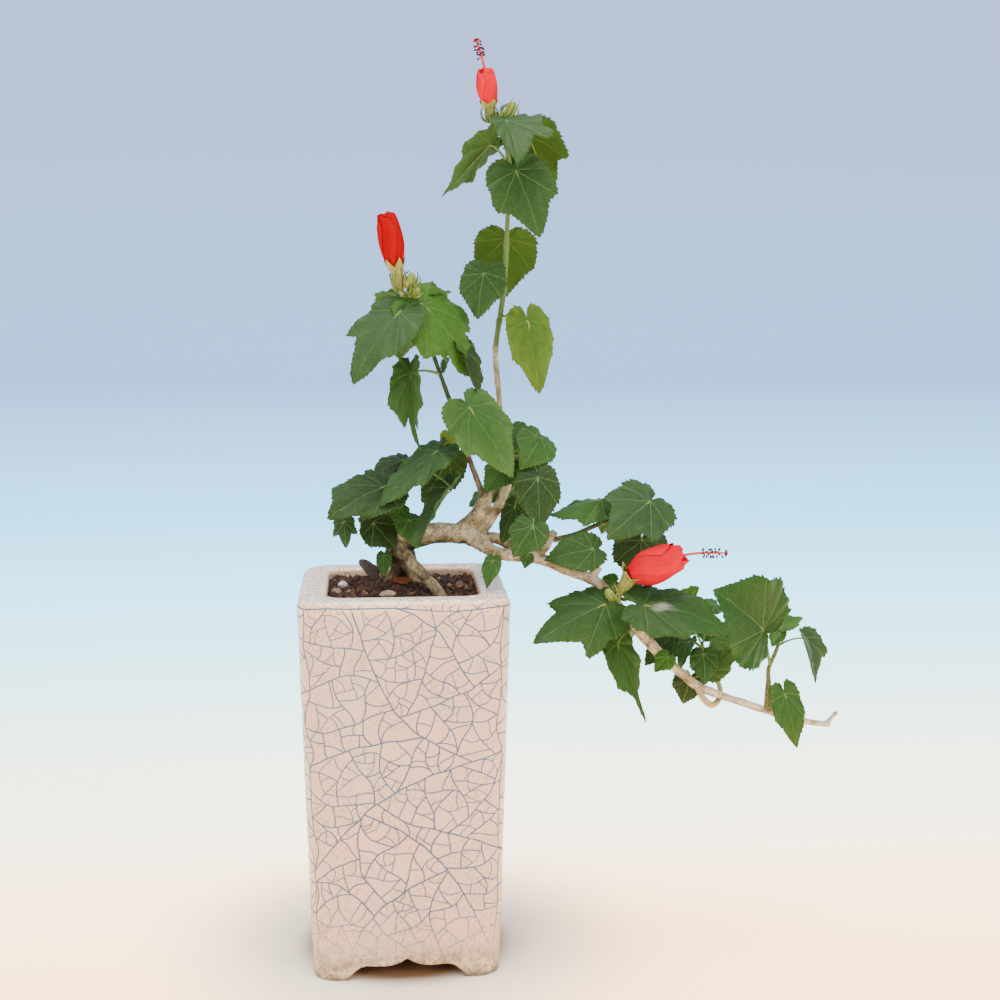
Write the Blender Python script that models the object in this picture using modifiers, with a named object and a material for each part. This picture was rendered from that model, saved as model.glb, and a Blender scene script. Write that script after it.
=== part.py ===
# Turk's cap bonsai (a dwarf wax mallow) in its tall square cascade pot.
#
# Lengths are millimetres, measured from the middle of the pot on the surface that it stands on:
# +X is the side that the cascade hangs to, -Y the show side, +Z up. place() turns them to metres
# and moves the middle of the whole plant's box over the origin.

import math

import bmesh
import bpy
from mathutils import Matrix, Vector

MM = 0.001
BOX_MIDDLE = Vector((86.5, 0.0, 0.0))
GAP = 0.3
CUT_CLEAR = 0.36                    # how far a cutter is grown, so that coarse sides still leave GAP

# Pot: a square taper with rounded corners, four feet left by arched cut-outs
RIM_WIDTH = 100.0
BASE_WIDTH = 90.4
POT_HEIGHT = 186.0
POT_CORNER = 12.0
RIM_WALL = 13.5
CAVITY_CORNER = 6.0
CAVITY_FLOOR = 20.0
CAVITY_FLOOR_WIDTH = 66.0
OUTER_LIP = 4.0
INNER_LIP = 2.5
BASE_CHAMFER = 1.5
UNDERSIDE_RECESS = 10.2
RECESS_WIDTH = 70.0
CORNER_STEPS = 4
LIP_STEPS = 3
# Half of the cut-out's outline: from the foot, over the ogee, to the point in the middle
CUTOUT_HALF = ((28.5, -1.0), (28.0, 1.0), (24.0, 5.0), (19.5, 6.8), (10.0, 6.4), (5.0, 7.4), (0.0, 10.0))

SOIL_TOP = 181.4

# A leaf blade seen from above: turn from the midrib and reach, as a share of the blade's length,
# and the places on the midrib that the first of these rim points are tied to
BLADE_RIM = ((0, 1.0), (13, 0.76), (27, 0.60), (43, 0.62), (64, 0.49), (92, 0.42), (126, 0.29), (157, 0.15))
MIDRIB_TIES = (0.74, 0.52, 0.34, 0.16)
SMALL_BLADE = 20.0                  # a blade shorter than this has a plainer rim
SMALL_RIM = ((0, 1.0), (22, 0.66), (50, 0.56), (95, 0.40), (145, 0.2))
SMALL_TIES = (0.6, 0.3)
BLADE_THICK = 0.6
PETIOLE_RADIUS = 0.6
PETIOLE_RISE = 0.08                 # how far a petiole bows up, as a share of its length
ROOTING = 2.0                       # how far a petiole runs on under its blade

COLORS = {
    "glaze": (0.72, 0.60, 0.52),
    "soil": (0.06, 0.025, 0.014),
    "bark": (0.45, 0.31, 0.19),
    "green_stem": (0.10, 0.20, 0.05),
    "leaf": (0.06, 0.17, 0.03),
    "petal": (0.87, 0.06, 0.05),
}
ROUGHNESS = {"glaze": 0.35, "soil": 0.95, "bark": 0.8, "green_stem": 0.55, "leaf": 0.5, "petal": 0.5}

plant = None
tools = None


# ---------------------------------------------------------------- places and meshes

def place(point):
    return (Vector(point) - BOX_MIDDLE) * MM


def smooth_route(points, per_span=3):
    """Reads a round curve through the points, which may carry radii as a fourth number."""
    rows = [Vector(p) for p in points]
    ends = [rows[0] * 2 - rows[1]] + rows + [rows[-1] * 2 - rows[-2]]
    out = []
    for i in range(1, len(ends) - 2):
        a, b, c, d = ends[i - 1:i + 3]
        for k in range(per_span):
            t = k / per_span
            out.append((b * 2 + (c - a) * t + (a * 2 - b * 5 + c * 4 - d) * t * t
                        + (b * 3 - a - c * 3 + d) * t * t * t) * 0.5)
    out.append(rows[-1])
    return out


def along(route, share):
    """The place on a route at a share of its length."""
    points = [Vector(p[:3]) for p in route]
    steps = [(b - a).length for a, b in zip(points, points[1:])]
    left = share * sum(steps)
    for a, b, step in zip(points, points[1:], steps):
        if left <= step:
            return a.lerp(b, left / step)
        left -= step
    return points[-1]


def add_object(name, mesh, collection):
    obj = bpy.data.objects.new(name, mesh)
    collection.objects.link(obj)
    return obj


def bake(obj, name, collection):
    """Turns an object with its modifiers into a plain mesh object in place."""
    depsgraph = bpy.context.evaluated_depsgraph_get()
    mesh = bpy.data.meshes.new_from_object(obj.evaluated_get(depsgraph))
    mesh.name = name
    matrix = obj.matrix_world.copy()
    data = obj.data
    bpy.data.objects.remove(obj)
    if data.users == 0:
        bpy.data.batch_remove([data])
    baked = add_object(name, mesh, collection)
    baked.matrix_world = matrix
    return baked


def weld(obj, distance=0.000002):
    bm = bmesh.new()
    bm.from_mesh(obj.data)
    bmesh.ops.remove_doubles(bm, verts=bm.verts, dist=distance)
    bm.to_mesh(obj.data)
    bm.free()


def keep_largest(obj):
    """Drops the scraps that a cut leaves beside the main body."""
    bm = bmesh.new()
    bm.from_mesh(obj.data)
    left = set(bm.verts)
    islands = []
    while left:
        seed = left.pop()
        island = {seed}
        front = [seed]
        while front:
            vert = front.pop()
            for edge in vert.link_edges:
                other = edge.other_vert(vert)
                if other in left:
                    left.discard(other)
                    island.add(other)
                    front.append(other)
        islands.append(island)
    islands.sort(key=len)
    for island in islands[:-1]:
        bmesh.ops.delete(bm, geom=list(island), context="VERTS")
    bm.to_mesh(obj.data)
    bm.free()


def boolean(obj, operation, operand, solver="MANIFOLD"):
    """Applies one Boolean with an object, or with every object of a collection."""
    cut = obj.modifiers.new(operation.title(), "BOOLEAN")
    cut.operation = operation
    cut.solver = solver
    if isinstance(operand, bpy.types.Collection):
        cut.operand_type = "COLLECTION"
        cut.collection = operand
    else:
        cut.object = operand
    return bake(obj, obj.name, obj.users_collection[0])


def join(pieces, name):
    """Fuses pieces into one body and removes what they were made of."""
    group = bpy.data.collections.new("fuse " + name)
    tools.children.link(group)
    for piece in pieces[1:]:
        tools.objects.unlink(piece)
        group.objects.link(piece)
    body = boolean(pieces[0], "UNION", group) if len(pieces) > 1 else pieces[0]
    for piece in list(group.objects):
        bpy.data.objects.remove(piece)
    bpy.data.collections.remove(group)
    return body


def grown_copy(obj):
    """A copy whose skin stands CUT_CLEAR outside the real one."""
    bm = bmesh.new()
    bm.from_mesh(obj.data)
    bm.normal_update()
    moves = [(vert, vert.normal.copy()) for vert in bm.verts]
    for vert, normal in moves:
        vert.co += normal * CUT_CLEAR * MM
    mesh = bpy.data.meshes.new("cutter")
    bm.to_mesh(mesh)
    bm.free()
    return add_object("cutter", mesh, tools)


def seat(obj, *carriers):
    """Cuts an object clear of what carries it, so that it sits on it GAP away."""
    for carrier in carriers:
        cutter = grown_copy(carrier)
        obj = boolean(obj, "DIFFERENCE", cutter)
        bpy.data.objects.remove(cutter)
    keep_largest(obj)
    return obj


def finish(obj, name, material, smooth=True):
    """Names an object as a node, gives it its material and moves it among the parts."""
    for collection in list(obj.users_collection):
        collection.objects.unlink(obj)
    plant.objects.link(obj)
    obj.name = name
    obj.data.name = name
    obj.data.materials.clear()
    obj.data.materials.append(material)
    if smooth:
        obj.data.shade_smooth()
        obj.data.set_sharp_from_angle(angle=math.radians(40))
    return obj


def make_material(name):
    material = bpy.data.materials.new(name)
    material.use_nodes = True
    shader = material.node_tree.nodes["Principled BSDF"]
    shader.inputs["Base Color"].default_value = (*COLORS[name], 1.0)
    shader.inputs["Roughness"].default_value = ROUGHNESS[name]
    return material


# ---------------------------------------------------------------- pot and soil

def square_ring(half, corner, z):
    """Points round a square with rounded corners, counter-clockwise."""
    ring = []
    for quarter in range(4):
        middle = math.radians(45 + 90 * quarter)
        cx = math.copysign(half - corner, math.cos(middle))
        cy = math.copysign(half - corner, math.sin(middle))
        for k in range(CORNER_STEPS + 1):
            turn = math.radians(90 * quarter + 90 * k / CORNER_STEPS)
            ring.append(place((cx + corner * math.cos(turn), cy + corner * math.sin(turn), z)))
    return ring


def loft(name, rings):
    """Skins a stack of rings with as many points each and closes its two ends."""
    bm = bmesh.new()
    rows = [[bm.verts.new(co) for co in ring] for ring in rings]
    count = len(rings[0])
    for low, high in zip(rows, rows[1:]):
        for i in range(count):
            j = (i + 1) % count
            bm.faces.new((low[i], low[j], high[j], high[i]))
    bm.faces.new(list(reversed(rows[0])))
    bm.faces.new(rows[-1])
    bmesh.ops.recalc_face_normals(bm, faces=bm.faces)
    mesh = bpy.data.meshes.new(name)
    bm.to_mesh(mesh)
    bm.free()
    return add_object(name, mesh, tools)


def cavity_half(z):
    rim = RIM_WIDTH / 2 - RIM_WALL
    floor = CAVITY_FLOOR_WIDTH / 2
    return floor + (rim - floor) * (z - CAVITY_FLOOR) / (POT_HEIGHT - CAVITY_FLOOR)


def cutout(turned):
    """The arched cut-out between two feet, run through the pot along Y, or along X if turned."""
    curve = bpy.data.curves.new("cutout", "CURVE")
    curve.dimensions = "2D"
    curve.fill_mode = "BOTH"
    curve.extrude = RIM_WIDTH * 0.6 * MM
    outline = list(CUTOUT_HALF) + [(-x, z) for x, z in reversed(CUTOUT_HALF[:-1])]
    spline = curve.splines.new("POLY")
    spline.points.add(len(outline) - 1)
    for point, (x, z) in zip(spline.points, outline):
        point.co = (x * MM, z * MM, 0.0, 1.0)
    spline.use_cyclic_u = True
    obj = add_object("cutout", curve, tools)
    turn = Matrix.Rotation(math.radians(90), 4, "X")
    if turned:
        turn = Matrix.Rotation(math.radians(90), 4, "Z") @ turn
    obj.matrix_world = Matrix.Translation(place((0, 0, 0))) @ turn
    bpy.context.view_layer.update()
    obj = bake(obj, "cutout", tools)
    weld(obj)
    return obj


def make_pot(material):
    rim = RIM_WIDTH / 2
    base = BASE_WIDTH / 2
    inner = rim - RIM_WALL
    rings = [square_ring(base - BASE_CHAMFER, POT_CORNER - BASE_CHAMFER, 0.0),
             square_ring(base, POT_CORNER, BASE_CHAMFER)]
    for k in range(LIP_STEPS + 1):
        turn = math.radians(90 * k / LIP_STEPS)
        inset = OUTER_LIP * (1 - math.cos(turn))
        z = POT_HEIGHT - OUTER_LIP * (1 - math.sin(turn))
        rings.append(square_ring(rim - inset, POT_CORNER - inset, z))
    for k in range(LIP_STEPS + 1):
        turn = math.radians(90 * k / LIP_STEPS)
        outset = INNER_LIP * (1 - math.sin(turn))
        z = POT_HEIGHT - INNER_LIP * (1 - math.cos(turn))
        rings.append(square_ring(inner + outset, CAVITY_CORNER + outset, z))
    rings.append(square_ring(CAVITY_FLOOR_WIDTH / 2, CAVITY_CORNER, CAVITY_FLOOR))
    pot = loft("pot", rings)
    recess = loft("recess", [square_ring(RECESS_WIDTH / 2, CAVITY_CORNER, -1.0),
                             square_ring(RECESS_WIDTH / 2, CAVITY_CORNER, UNDERSIDE_RECESS)])
    for cutter in (recess, cutout(False), cutout(True)):
        pot = boolean(pot, "DIFFERENCE", cutter, "EXACT")
        bpy.data.objects.remove(cutter)
    weld(pot)
    return finish(pot, "pot", material)


def make_soil(material):
    rings = [square_ring(cavity_half(z) - GAP, CAVITY_CORNER - GAP, z) for z in (CAVITY_FLOOR + GAP, SOIL_TOP)]
    return finish(loft("soil", rings), "soil", material)


# ---------------------------------------------------------------- limbs

def tube(name, route, sides=8, per_span=3):
    """A round limb along (x, y, z, radius) points, with welded caps."""
    rows = smooth_route(route, per_span)
    curve = bpy.data.curves.new(name, "CURVE")
    curve.dimensions = "3D"
    curve.bevel_depth = MM
    curve.bevel_resolution = sides // 2 - 2
    curve.use_fill_caps = True
    spline = curve.splines.new("POLY")
    spline.points.add(len(rows) - 1)
    for point, row in zip(spline.points, rows):
        point.co = (*place(row[:3]), 1.0)
        point.radius = row[3]
    obj = bake(add_object(name, curve, tools), name, tools)
    weld(obj)
    return obj


def cut_flat(obj, z):
    """Cuts off what lies below a level and closes the cut."""
    bm = bmesh.new()
    bm.from_mesh(obj.data)
    whole = bm.verts[:] + bm.edges[:] + bm.faces[:]
    cut = bmesh.ops.bisect_plane(bm, geom=whole, plane_co=(0, 0, z * MM), plane_no=(0, 0, 1), clear_inner=True)
    rim = [item for item in cut["geom_cut"] if isinstance(item, bmesh.types.BMEdge)]
    bmesh.ops.holes_fill(bm, edges=rim)
    bmesh.ops.recalc_face_normals(bm, faces=bm.faces)
    bm.to_mesh(obj.data)
    bm.free()


TRUNK = {
    "stem": ((4, 23, 176, 9.0), (2, 19, 189, 7.0), (-1, 13, 202, 7.2), (8, 9, 207, 5.6), (21, 6, 209, 5.2),
             (33, 3, 208, 4.6), (41, 1, 204.5, 4.0)),
    "front root": ((22, -22, 176, 3.2), (16, -14, 184.5, 2.9), (7, -7, 194, 2.8), (-2, 4, 202, 3.4)),
    "middle root": ((12, 10, 176, 3.6), (6, 12, 186, 3.0), (-1, 14, 196, 4.0)),
    "left root": ((-10, 13, 176, 3.4), (-5, 13, 186, 2.6), (0, 14, 196, 4.0)),
}

# Each limb: its own tapering route, the stubs left on it by pruning, and what it sits on
LIMBS = {
    "bough_upright": {
        "route": ((27, 5, 209, 4.2), (34, 4, 214, 4.2), (40, 4, 222, 3.9), (42, 5, 230, 3.0)),
        "stubs": (((41, 4, 214, 3.2), (47, 5, 221, 2.5), (53, 8, 233, 2.2)), ((45, 4, 218, 1.6), (49, 0, 221, 1.1))),
        "on": ("trunk",),
    },
    "bough_cascade_inner": {
        "route": ((37, 2, 206, 3.4), (45, -2, 200.5, 3.2), (52, -3, 199, 3.1), (68, -5, 197, 2.9), (80, -6, 192, 2.8),
                  (88, -6.5, 189, 2.8), (95.8, -7.9, 185.2, 2.8)),
        "stubs": (((92, -7, 187, 2.0), (97, -6, 193, 1.7)),),
        "on": ("trunk",),
    },
    "bough_cascade_outer": {
        "route": ((96, -8, 185, 2.8), (99, -8, 182, 2.9), (105, -8, 174, 2.9), (118, -8, 159, 2.8),
                  (128, -7, 148, 2.6), (139, -5, 138, 2.4), (149, -4, 130, 2.2), (172, -2, 121, 1.9),
                  (191, 0, 114, 1.75), (203, 2, 110, 1.6), (218, 4, 107, 1.45)),
        "stubs": (((216, 4, 107.5, 1.3), (222, 6, 113, 1.0)),),
        "on": ("bough_cascade_inner",),
    },
    "bough_back": {
        "route": ((39, 3, 206, 3.0), (46, 6, 206, 2.9), (52, 8, 203, 2.8), (64, 8, 197, 2.6), (70, 7, 199, 2.3),
                  (76, 6, 209, 1.9)),
        "stubs": (),
        "on": ("trunk", "bough_cascade_inner", "bough_upright"),
    },
    "stem_left": {
        "route": ((40, 5, 228, 1.7), (34, 4, 244, 1.4), (29, 2, 260, 1.25), (24, 0, 274, 1.2), (19, -2, 288, 1.15),
                  (15, -4, 299, 1.1)),
        "sides": 6,
        "stubs": (),
        "on": ("bough_upright",),
    },
    "stem_top": {
        "route": ((43, 6, 226, 2.0), (47, 8, 239, 1.8), (49, 10, 265, 1.5), (48, 11, 282, 1.45), (47, 12, 300, 1.4),
                  (51, 12, 328, 1.35), (53, 12, 365, 1.2)),
        "sides": 6,
        "stubs": (),
        "on": ("bough_upright", "stem_left"),
    },
}


def make_trunk(material):
    pieces = [tube(name, route) for name, route in TRUNK.items()]
    trunk = join(pieces, "trunk")
    cut_flat(trunk, SOIL_TOP + GAP)
    keep_largest(trunk)
    return finish(trunk, "trunk", material)


def make_limb(name, nodes, material):
    limb = LIMBS[name]
    sides = limb.get("sides", 8)
    pieces = [tube(name, limb["route"], sides)] + [tube(name + " stub", stub, 6, 1) for stub in limb["stubs"]]
    body = seat(join(pieces, name), *[nodes[carrier] for carrier in limb["on"]])
    return finish(body, name, material)


# ---------------------------------------------------------------- leaves

def facing(turn, rise):
    """The direction a blade's upper side looks to: turn from the show side toward +X, and rise."""
    turn = math.radians(turn)
    rise = math.radians(rise)
    return Vector((math.sin(turn) * math.cos(rise), -math.cos(turn) * math.cos(rise), math.sin(rise)))


def blade(base, tip, faces, width, arch, fold):
    """A lobed blade from its petiole's end to its tip, arched along and folded about the midrib."""
    base = Vector(base)
    reach = Vector(tip) - base
    length = reach.length
    ahead = reach.normalized()
    up = facing(*faces)
    up = (up - ahead * up.dot(ahead)).normalized()
    side = ahead.cross(up)
    arch = math.radians(max(arch, 1.0))
    chord = math.sin(arch / 2) / (arch / 2)

    def spot(turn, share):
        """A point of the blade in millimetres, by its turn from the midrib and its reach."""
        turn = math.radians(turn)
        u = share * math.cos(turn)
        v = share * math.sin(turn) * width
        bend = arch * u
        run = math.sin(bend) / arch / chord
        drop = (math.cos(bend) - 1) / arch / chord
        lift = abs(v) * math.tan(math.radians(fold))
        lean = arch / 2
        flat = run * math.cos(lean) - drop * math.sin(lean)
        high = run * math.sin(lean) + drop * math.cos(lean) + lift
        return base + (ahead * flat + up * high + side * v) * length

    bm = bmesh.new()
    outline, tied = (BLADE_RIM, MIDRIB_TIES) if length > SMALL_BLADE else (SMALL_RIM, SMALL_TIES)
    tip_vert = bm.verts.new(place(spot(*outline[0])))
    ribs = [bm.verts.new(place(spot(0, share))) for share in tied]
    foot = bm.verts.new(place(base))
    ties = ribs + [foot] * (len(outline) - 1 - len(ribs))
    for side_turn in (1, -1):
        rim = [bm.verts.new(place(spot(side_turn * turn, share))) for turn, share in outline[1:]]
        bm.faces.new((tip_vert, rim[0], ties[0]))
        for i in range(len(rim) - 1):
            corners = (rim[i], rim[i + 1], ties[i + 1], ties[i])
            bm.faces.new(corners if ties[i] is not ties[i + 1] else corners[:3])
    bmesh.ops.triangulate(bm, faces=bm.faces)
    bmesh.ops.recalc_face_normals(bm, faces=bm.faces)
    mesh = bpy.data.meshes.new("blade")
    bm.to_mesh(mesh)
    bm.free()
    obj = add_object("blade", mesh, tools)
    shell = obj.modifiers.new("Thickness", "SOLIDIFY")
    shell.thickness = BLADE_THICK * MM
    shell.offset = 0.0
    return bake(obj, "blade", tools), spot(0, ROOTING / length)


def leaf(start, row):
    """A petiole from the stem and the blade on its end. Row: base, tip, faces, width, arch, fold."""
    base, tip, faces, width, arch, fold = row
    body, root = blade(base, tip, faces, width, arch, fold)
    base = Vector(base)
    sag = Vector((0, 0, (base - start).length * PETIOLE_RISE))
    rows = [(*start, PETIOLE_RADIUS * 1.2), (*((start + base) / 2 + sag), PETIOLE_RADIUS), (*root, PETIOLE_RADIUS)]
    return [tube("petiole", rows, 4, 1), body]


# Each mass: its stem (x, y, z, radius), what that sits on, and its leaves. A leaf's row is the
# share of the stem it leaves from, the blade's base and tip, the way its upper side faces (turn,
# rise), its width to length, its arch and its fold in degrees.
MASSES = {
    "leaves_top": {
        "stem": ((53, 12, 365.5, 1.2), (54, 10, 383, 1.2), (52, 9, 396, 1.1), (49.5, 8, 404, 1.0)),
        "on": ("stem_top",),
        "leaves": (
            (0.60, (44, 4, 397), (22, -5, 371), (-125, 30), 0.85, 20, 8),
            (0.93, (51, 0, 408), (54, -24, 386), (0, 50), 0.95, 40, -12),
            (0.85, (58, 14, 404), (85, 24, 397), (160, 25), 1.4, 20, 5),
            (0.40, (55, -8, 384), (66, -14, 353), (5, 15), 1.05, 25, -5),
            (0.30, (56, 20, 386), (60, 38, 366), (170, 40), 0.9, 30, 8),
        ),
    },
    "leaves_left_crown": {
        "stem": ((14.8, -4, 299.5, 1.1), (9, -6, 313, 1.1), (3, -7, 324, 1.0), (1, -8, 328, 0.9)),
        "on": ("stem_left",),
        "leaves": (
            (0.70, (-0.5, -15, 318), (-23, -32, 286), (-8, 45), 0.85, 30, -12),
            (0.80, (11, -8, 321), (35, -4, 278), (35, 25), 0.8, 45, -12),
            (0.90, (2, 4, 324), (-12, 20, 316), (-165, 45), 0.95, 25, 8),
            (0.85, (9, 6, 325), (22, 28, 322), (150, 45), 1.0, 25, 8),
            (0.40, (6, 10, 312), (0, 32, 294), (180, 35), 0.95, 30, 6),
        ),
    },
    "leaves_centre": {
        "stem": ((49, 8, 246, 1.1), (55, 4, 248, 1.0), (62, 2, 246, 0.9), (67, 2, 238, 0.8)),
        "on": ("stem_top",),
        "leaves": (
            (0.10, (52, 0, 244), (40, -4, 230), (-20, 15), 0.9, 15, 0),
            (0.35, (60, -1, 261), (50, -9, 249), (-15, 50), 1.1, 25, -6),
            (0.70, (68, -2, 257), (57, -15, 243), (25, 35), 1.05, 55, -8),
            (1.00, (65, -16, 239), (65, -23, 214), (5, 8), 0.9, 30, -10),
            (0.60, (55, -8, 224), (49, -6, 205), (-50, 10), 0.8, 20, -5),
            (0.90, (62, -26, 217), (52, -31, 203), (-5, 25), 1.1, 25, -10),
            (0.50, (60, 16, 250), (64, 36, 228), (165, 35), 0.95, 30, 6),
            (0.80, (58, 18, 232), (50, 34, 214), (-165, 30), 0.95, 30, 6),
        ),
    },
    "leaves_low_left": {
        "stem": ((-4, 10, 207, 1.5), (-6, 6, 219, 1.3), (-4, 4, 230, 1.1), (4, 2, 240, 0.9), (14, 0, 246, 0.8)),
        "on": ("trunk",),
        "leaves": (
            (0.75, (1, 0, 246), (-15, -8, 237), (-5, 60), 0.9, 40, -8),
            (0.55, (-21, -6, 235), (-32, -18, 224), (-30, 45), 1.2, 35, -8),
            (0.60, (-8, -20, 236), (-35, -36, 223), (-5, 48), 0.9, 25, -5),
            (0.95, (17, -14, 252), (-10, -32, 227), (-25, 50), 0.55, 25, -8),
            (0.98, (24, 10, 246), (10, 6, 224), (150, 25), 0.85, 20, 6),
            (0.85, (23, -20, 235), (7, -30, 207), (-70, 25), 0.55, 20, 25),
            (0.30, (-1, -2, 223), (-3, -8, 215), (10, 30), 1.1, 15, 0),
            (0.20, (3, -14, 219), (7, -22, 206), (20, 25), 1.0, 20, -8),
            (0.30, (-14, -4, 216), (-3, -13, 204), (-10, 20), 1.05, 20, -6),
            (0.50, (-28, -12, 218), (-27, -17, 206), (0, 15), 0.9, 15, -8),
            (0.65, (-6, 10, 237), (-13, 8, 231), (-160, 30), 1.4, 15, 5),
            (0.45, (-16, 14, 228), (-32, 26, 216), (-140, 45), 0.95, 30, 6),
            (0.25, (-8, 18, 216), (-18, 34, 202), (-165, 35), 0.95, 30, 6),
        ),
    },
    "leaves_back_twig": {
        "stem": ((76, 6, 206, 1.5), (86, 4, 207.5, 1.3), (93, 2, 211, 1.2), (100, 0, 214, 1.1), (110, 2, 216, 1.0),
                 (119, 5, 219, 0.8)),
        "on": ("bough_back",),
        "leaves": (
            (0.55, (98, 2, 225), (72, -8, 218), (-15, 60), 0.75, 20, -30),
            (0.95, (122, -4, 225), (99, -18, 209), (5, 38), 1.15, 20, -6),
            (0.90, (121, 12, 203), (119, 12, 178), (0, 10), 1.2, 20, -6),
            (0.80, (112, 18, 218), (104, 36, 202), (-165, 35), 0.95, 30, 6),
        ),
    },
    "leaves_hook": {
        "stem": ((148, -5, 129, 1.7), (150, -7, 125, 1.7), (154, -6, 121.5, 1.6), (158, -2, 122, 1.5),
                 (160, 1, 125, 1.3), (160, 3, 129, 1.25), (156, 6, 139, 1.1), (151, 4, 150, 0.9)),
        "on": ("bough_cascade_outer",),
        "leaves": (
            (0.97, (141, 10, 168), (151, 14, 178), (150, 45), 1.2, 15, 5),
            (1.00, (160, 17, 168), (149, 13, 166), (20, 60), 1.1, 20, -5),
            (0.85, (157, 10, 151), (170, 18, 156), (20, 50), 1.5, 30, 6),
            (0.75, (153, -7, 139), (165, -15, 153), (25, 40), 0.7, 20, -8),
            (0.80, (148, -14, 150), (148, -20, 136), (-5, 20), 1.0, 20, -8),
            (0.85, (142, -8, 155), (137, -14, 143), (-60, 20), 0.9, 25, 12),
            (0.95, (138, 8, 156), (122, 4, 140), (-20, 30), 0.85, 20, -6),
            (0.60, (146, 8, 132), (143, 10, 118), (-5, 15), 1.2, 20, -6),
            (0.70, (160, 18, 140), (168, 34, 130), (150, 40), 0.95, 30, 6),
        ),
    },
    "leaves_end": {
        "stem": ((184, -1, 118, 2.0), (184, -2, 126, 1.8), (184, -2, 133, 1.25), (184, -2, 139, 1.1),
                 (188, -2, 149, 1.0), (190, -2, 159, 0.8)),
        "on": ("bough_cascade_outer",),
        "leaves": (
            (0.55, (178, -12, 161), (151, -25, 184), (-10, 28), 1.4, 25, 10),
            (1.00, (191, 0, 160), (203, 6, 163), (-20, 55), 0.8, 20, 6),
            (0.92, (189, -2, 157), (184, -8, 151), (-30, 40), 0.9, 15, 6),
            (0.80, (200, -6, 155), (203, -11, 134), (75, 25), 1.0, 25, 30),
            (0.30, (191, -8, 127), (197, -12, 100), (5, 10), 0.62, 20, -10),
        ),
    },
}

# Leaves that hang alone on a limb: what carries it, the place on its route, and the leaf's row
LONE_LEAVES = {
    "leaf_stem_behind": ("stem_top", (51.5, 12, 349), ((53, 22, 350), (54, 34, 324), (172, 22), 1.15, 25, 5)),
    "leaf_stem_curled": ("stem_top", (50, 12, 332), ((41, 1, 336), (37, -8, 316), (-20, 30), 1.15, 60, -10)),
    "leaf_stem_pale": ("stem_top", (50, 12, 315), ((62, 4, 313), (67, 0, 278), (10, 12), 0.68, 20, -6)),
    "leaf_left_hanging": ("stem_left", (19, -2, 288), ((5, -8, 289), (9, -14, 254), (-50, 12), 0.5, 30, 20)),
    "leaf_left_bud": ("stem_left", (18.5, -2, 290), ((20, -3, 291), (23, -8, 296), (0, 40), 0.9, 10, 0)),
    "leaf_heart": ("stem_left", (27, 1, 267), ((32, -18, 273), (52, -30, 241), (-5, 38), 0.92, 25, -14)),
    "leaf_yellow_bud": ("stem_left", (27.5, 1, 264), ((23, -1, 259), (23, -3, 248), (-20, 10), 0.7, 10, 20)),
    "leaf_fork": ("bough_upright", (38, 4, 219), ((38, 12, 226), (34, 18, 220), (-30, 40), 0.9, 10, 0)),
    "leaf_drip": ("bough_cascade_inner", (48, -1, 199.5), ((43, -22, 200), (39.5, -29, 188), (-15, 5), 0.95, 15, -8)),
    "leaf_under": ("bough_cascade_inner", (62, -3, 196), ((61, -11, 200), (59, -14, 194), (-5, 10), 1.0, 10, 0)),
    "leaf_bough_front": ("bough_cascade_inner", (88, -7, 188), ((93, -13, 203), (69, -17, 199), (-5, 28), 1.0, 20, -6)),
    "leaf_trunk_foot": ("trunk", (-5, 8, 199), ((-9, -5, 200), (-9, -9, 190), (-5, 10), 0.75, 15, 0)),
    "leaf_star": ("bough_cascade_outer", (110, -8, 167), ((97, -25, 178), (61, -38, 162), (-5, 42), 0.88, 25, -24)),
    "leaf_silver": ("bough_cascade_outer", (114, -8, 163), ((115, -31, 178.5), (157, -34, 166), (0, 60), 0.85, 25, -5)),
    "leaf_below": ("bough_cascade_outer", (113, -8, 164), ((105, -15, 156), (117, -21, 118), (20, 12), 0.5, 12, -10)),
    "leaf_wrap": ("bough_cascade_outer", (127, -7, 149), ((130, -15, 149), (123, -17, 142), (0, 40), 1.1, 15, 0)),
    "leaf_calyx": ("bough_cascade_outer", (106, -7, 172), ((106, 3, 183), (97, 6, 178), (-10, 40), 1.2, 15, 0)),
    "leaf_back_low": ("bough_cascade_outer", (121, -7, 156), ((116, 13, 158), (120, 36, 146), (165, 35), 0.95, 30, 6)),
    "leaf_back_mid": ("bough_back", (58, 8, 200), ((60, 24, 204), (70, 42, 190), (150, 35), 0.9, 30, 6)),
}


def make_mass(name, nodes, material):
    mass = MASSES[name]
    stem = smooth_route(mass["stem"])
    pieces = [tube(name, mass["stem"], 6, 2)]
    for share, *row in mass["leaves"]:
        pieces += leaf(along(stem, share), row)
    body = seat(join(pieces, name), *[nodes[carrier] for carrier in mass["on"]])
    return finish(body, name, material, False)


def make_lone_leaf(name, nodes, material):
    carrier, start, row = LONE_LEAVES[name]
    body = seat(join(leaf(Vector(start), row), name), nodes[carrier])
    return finish(body, name, material, False)


# ---------------------------------------------------------------- flowers

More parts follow.
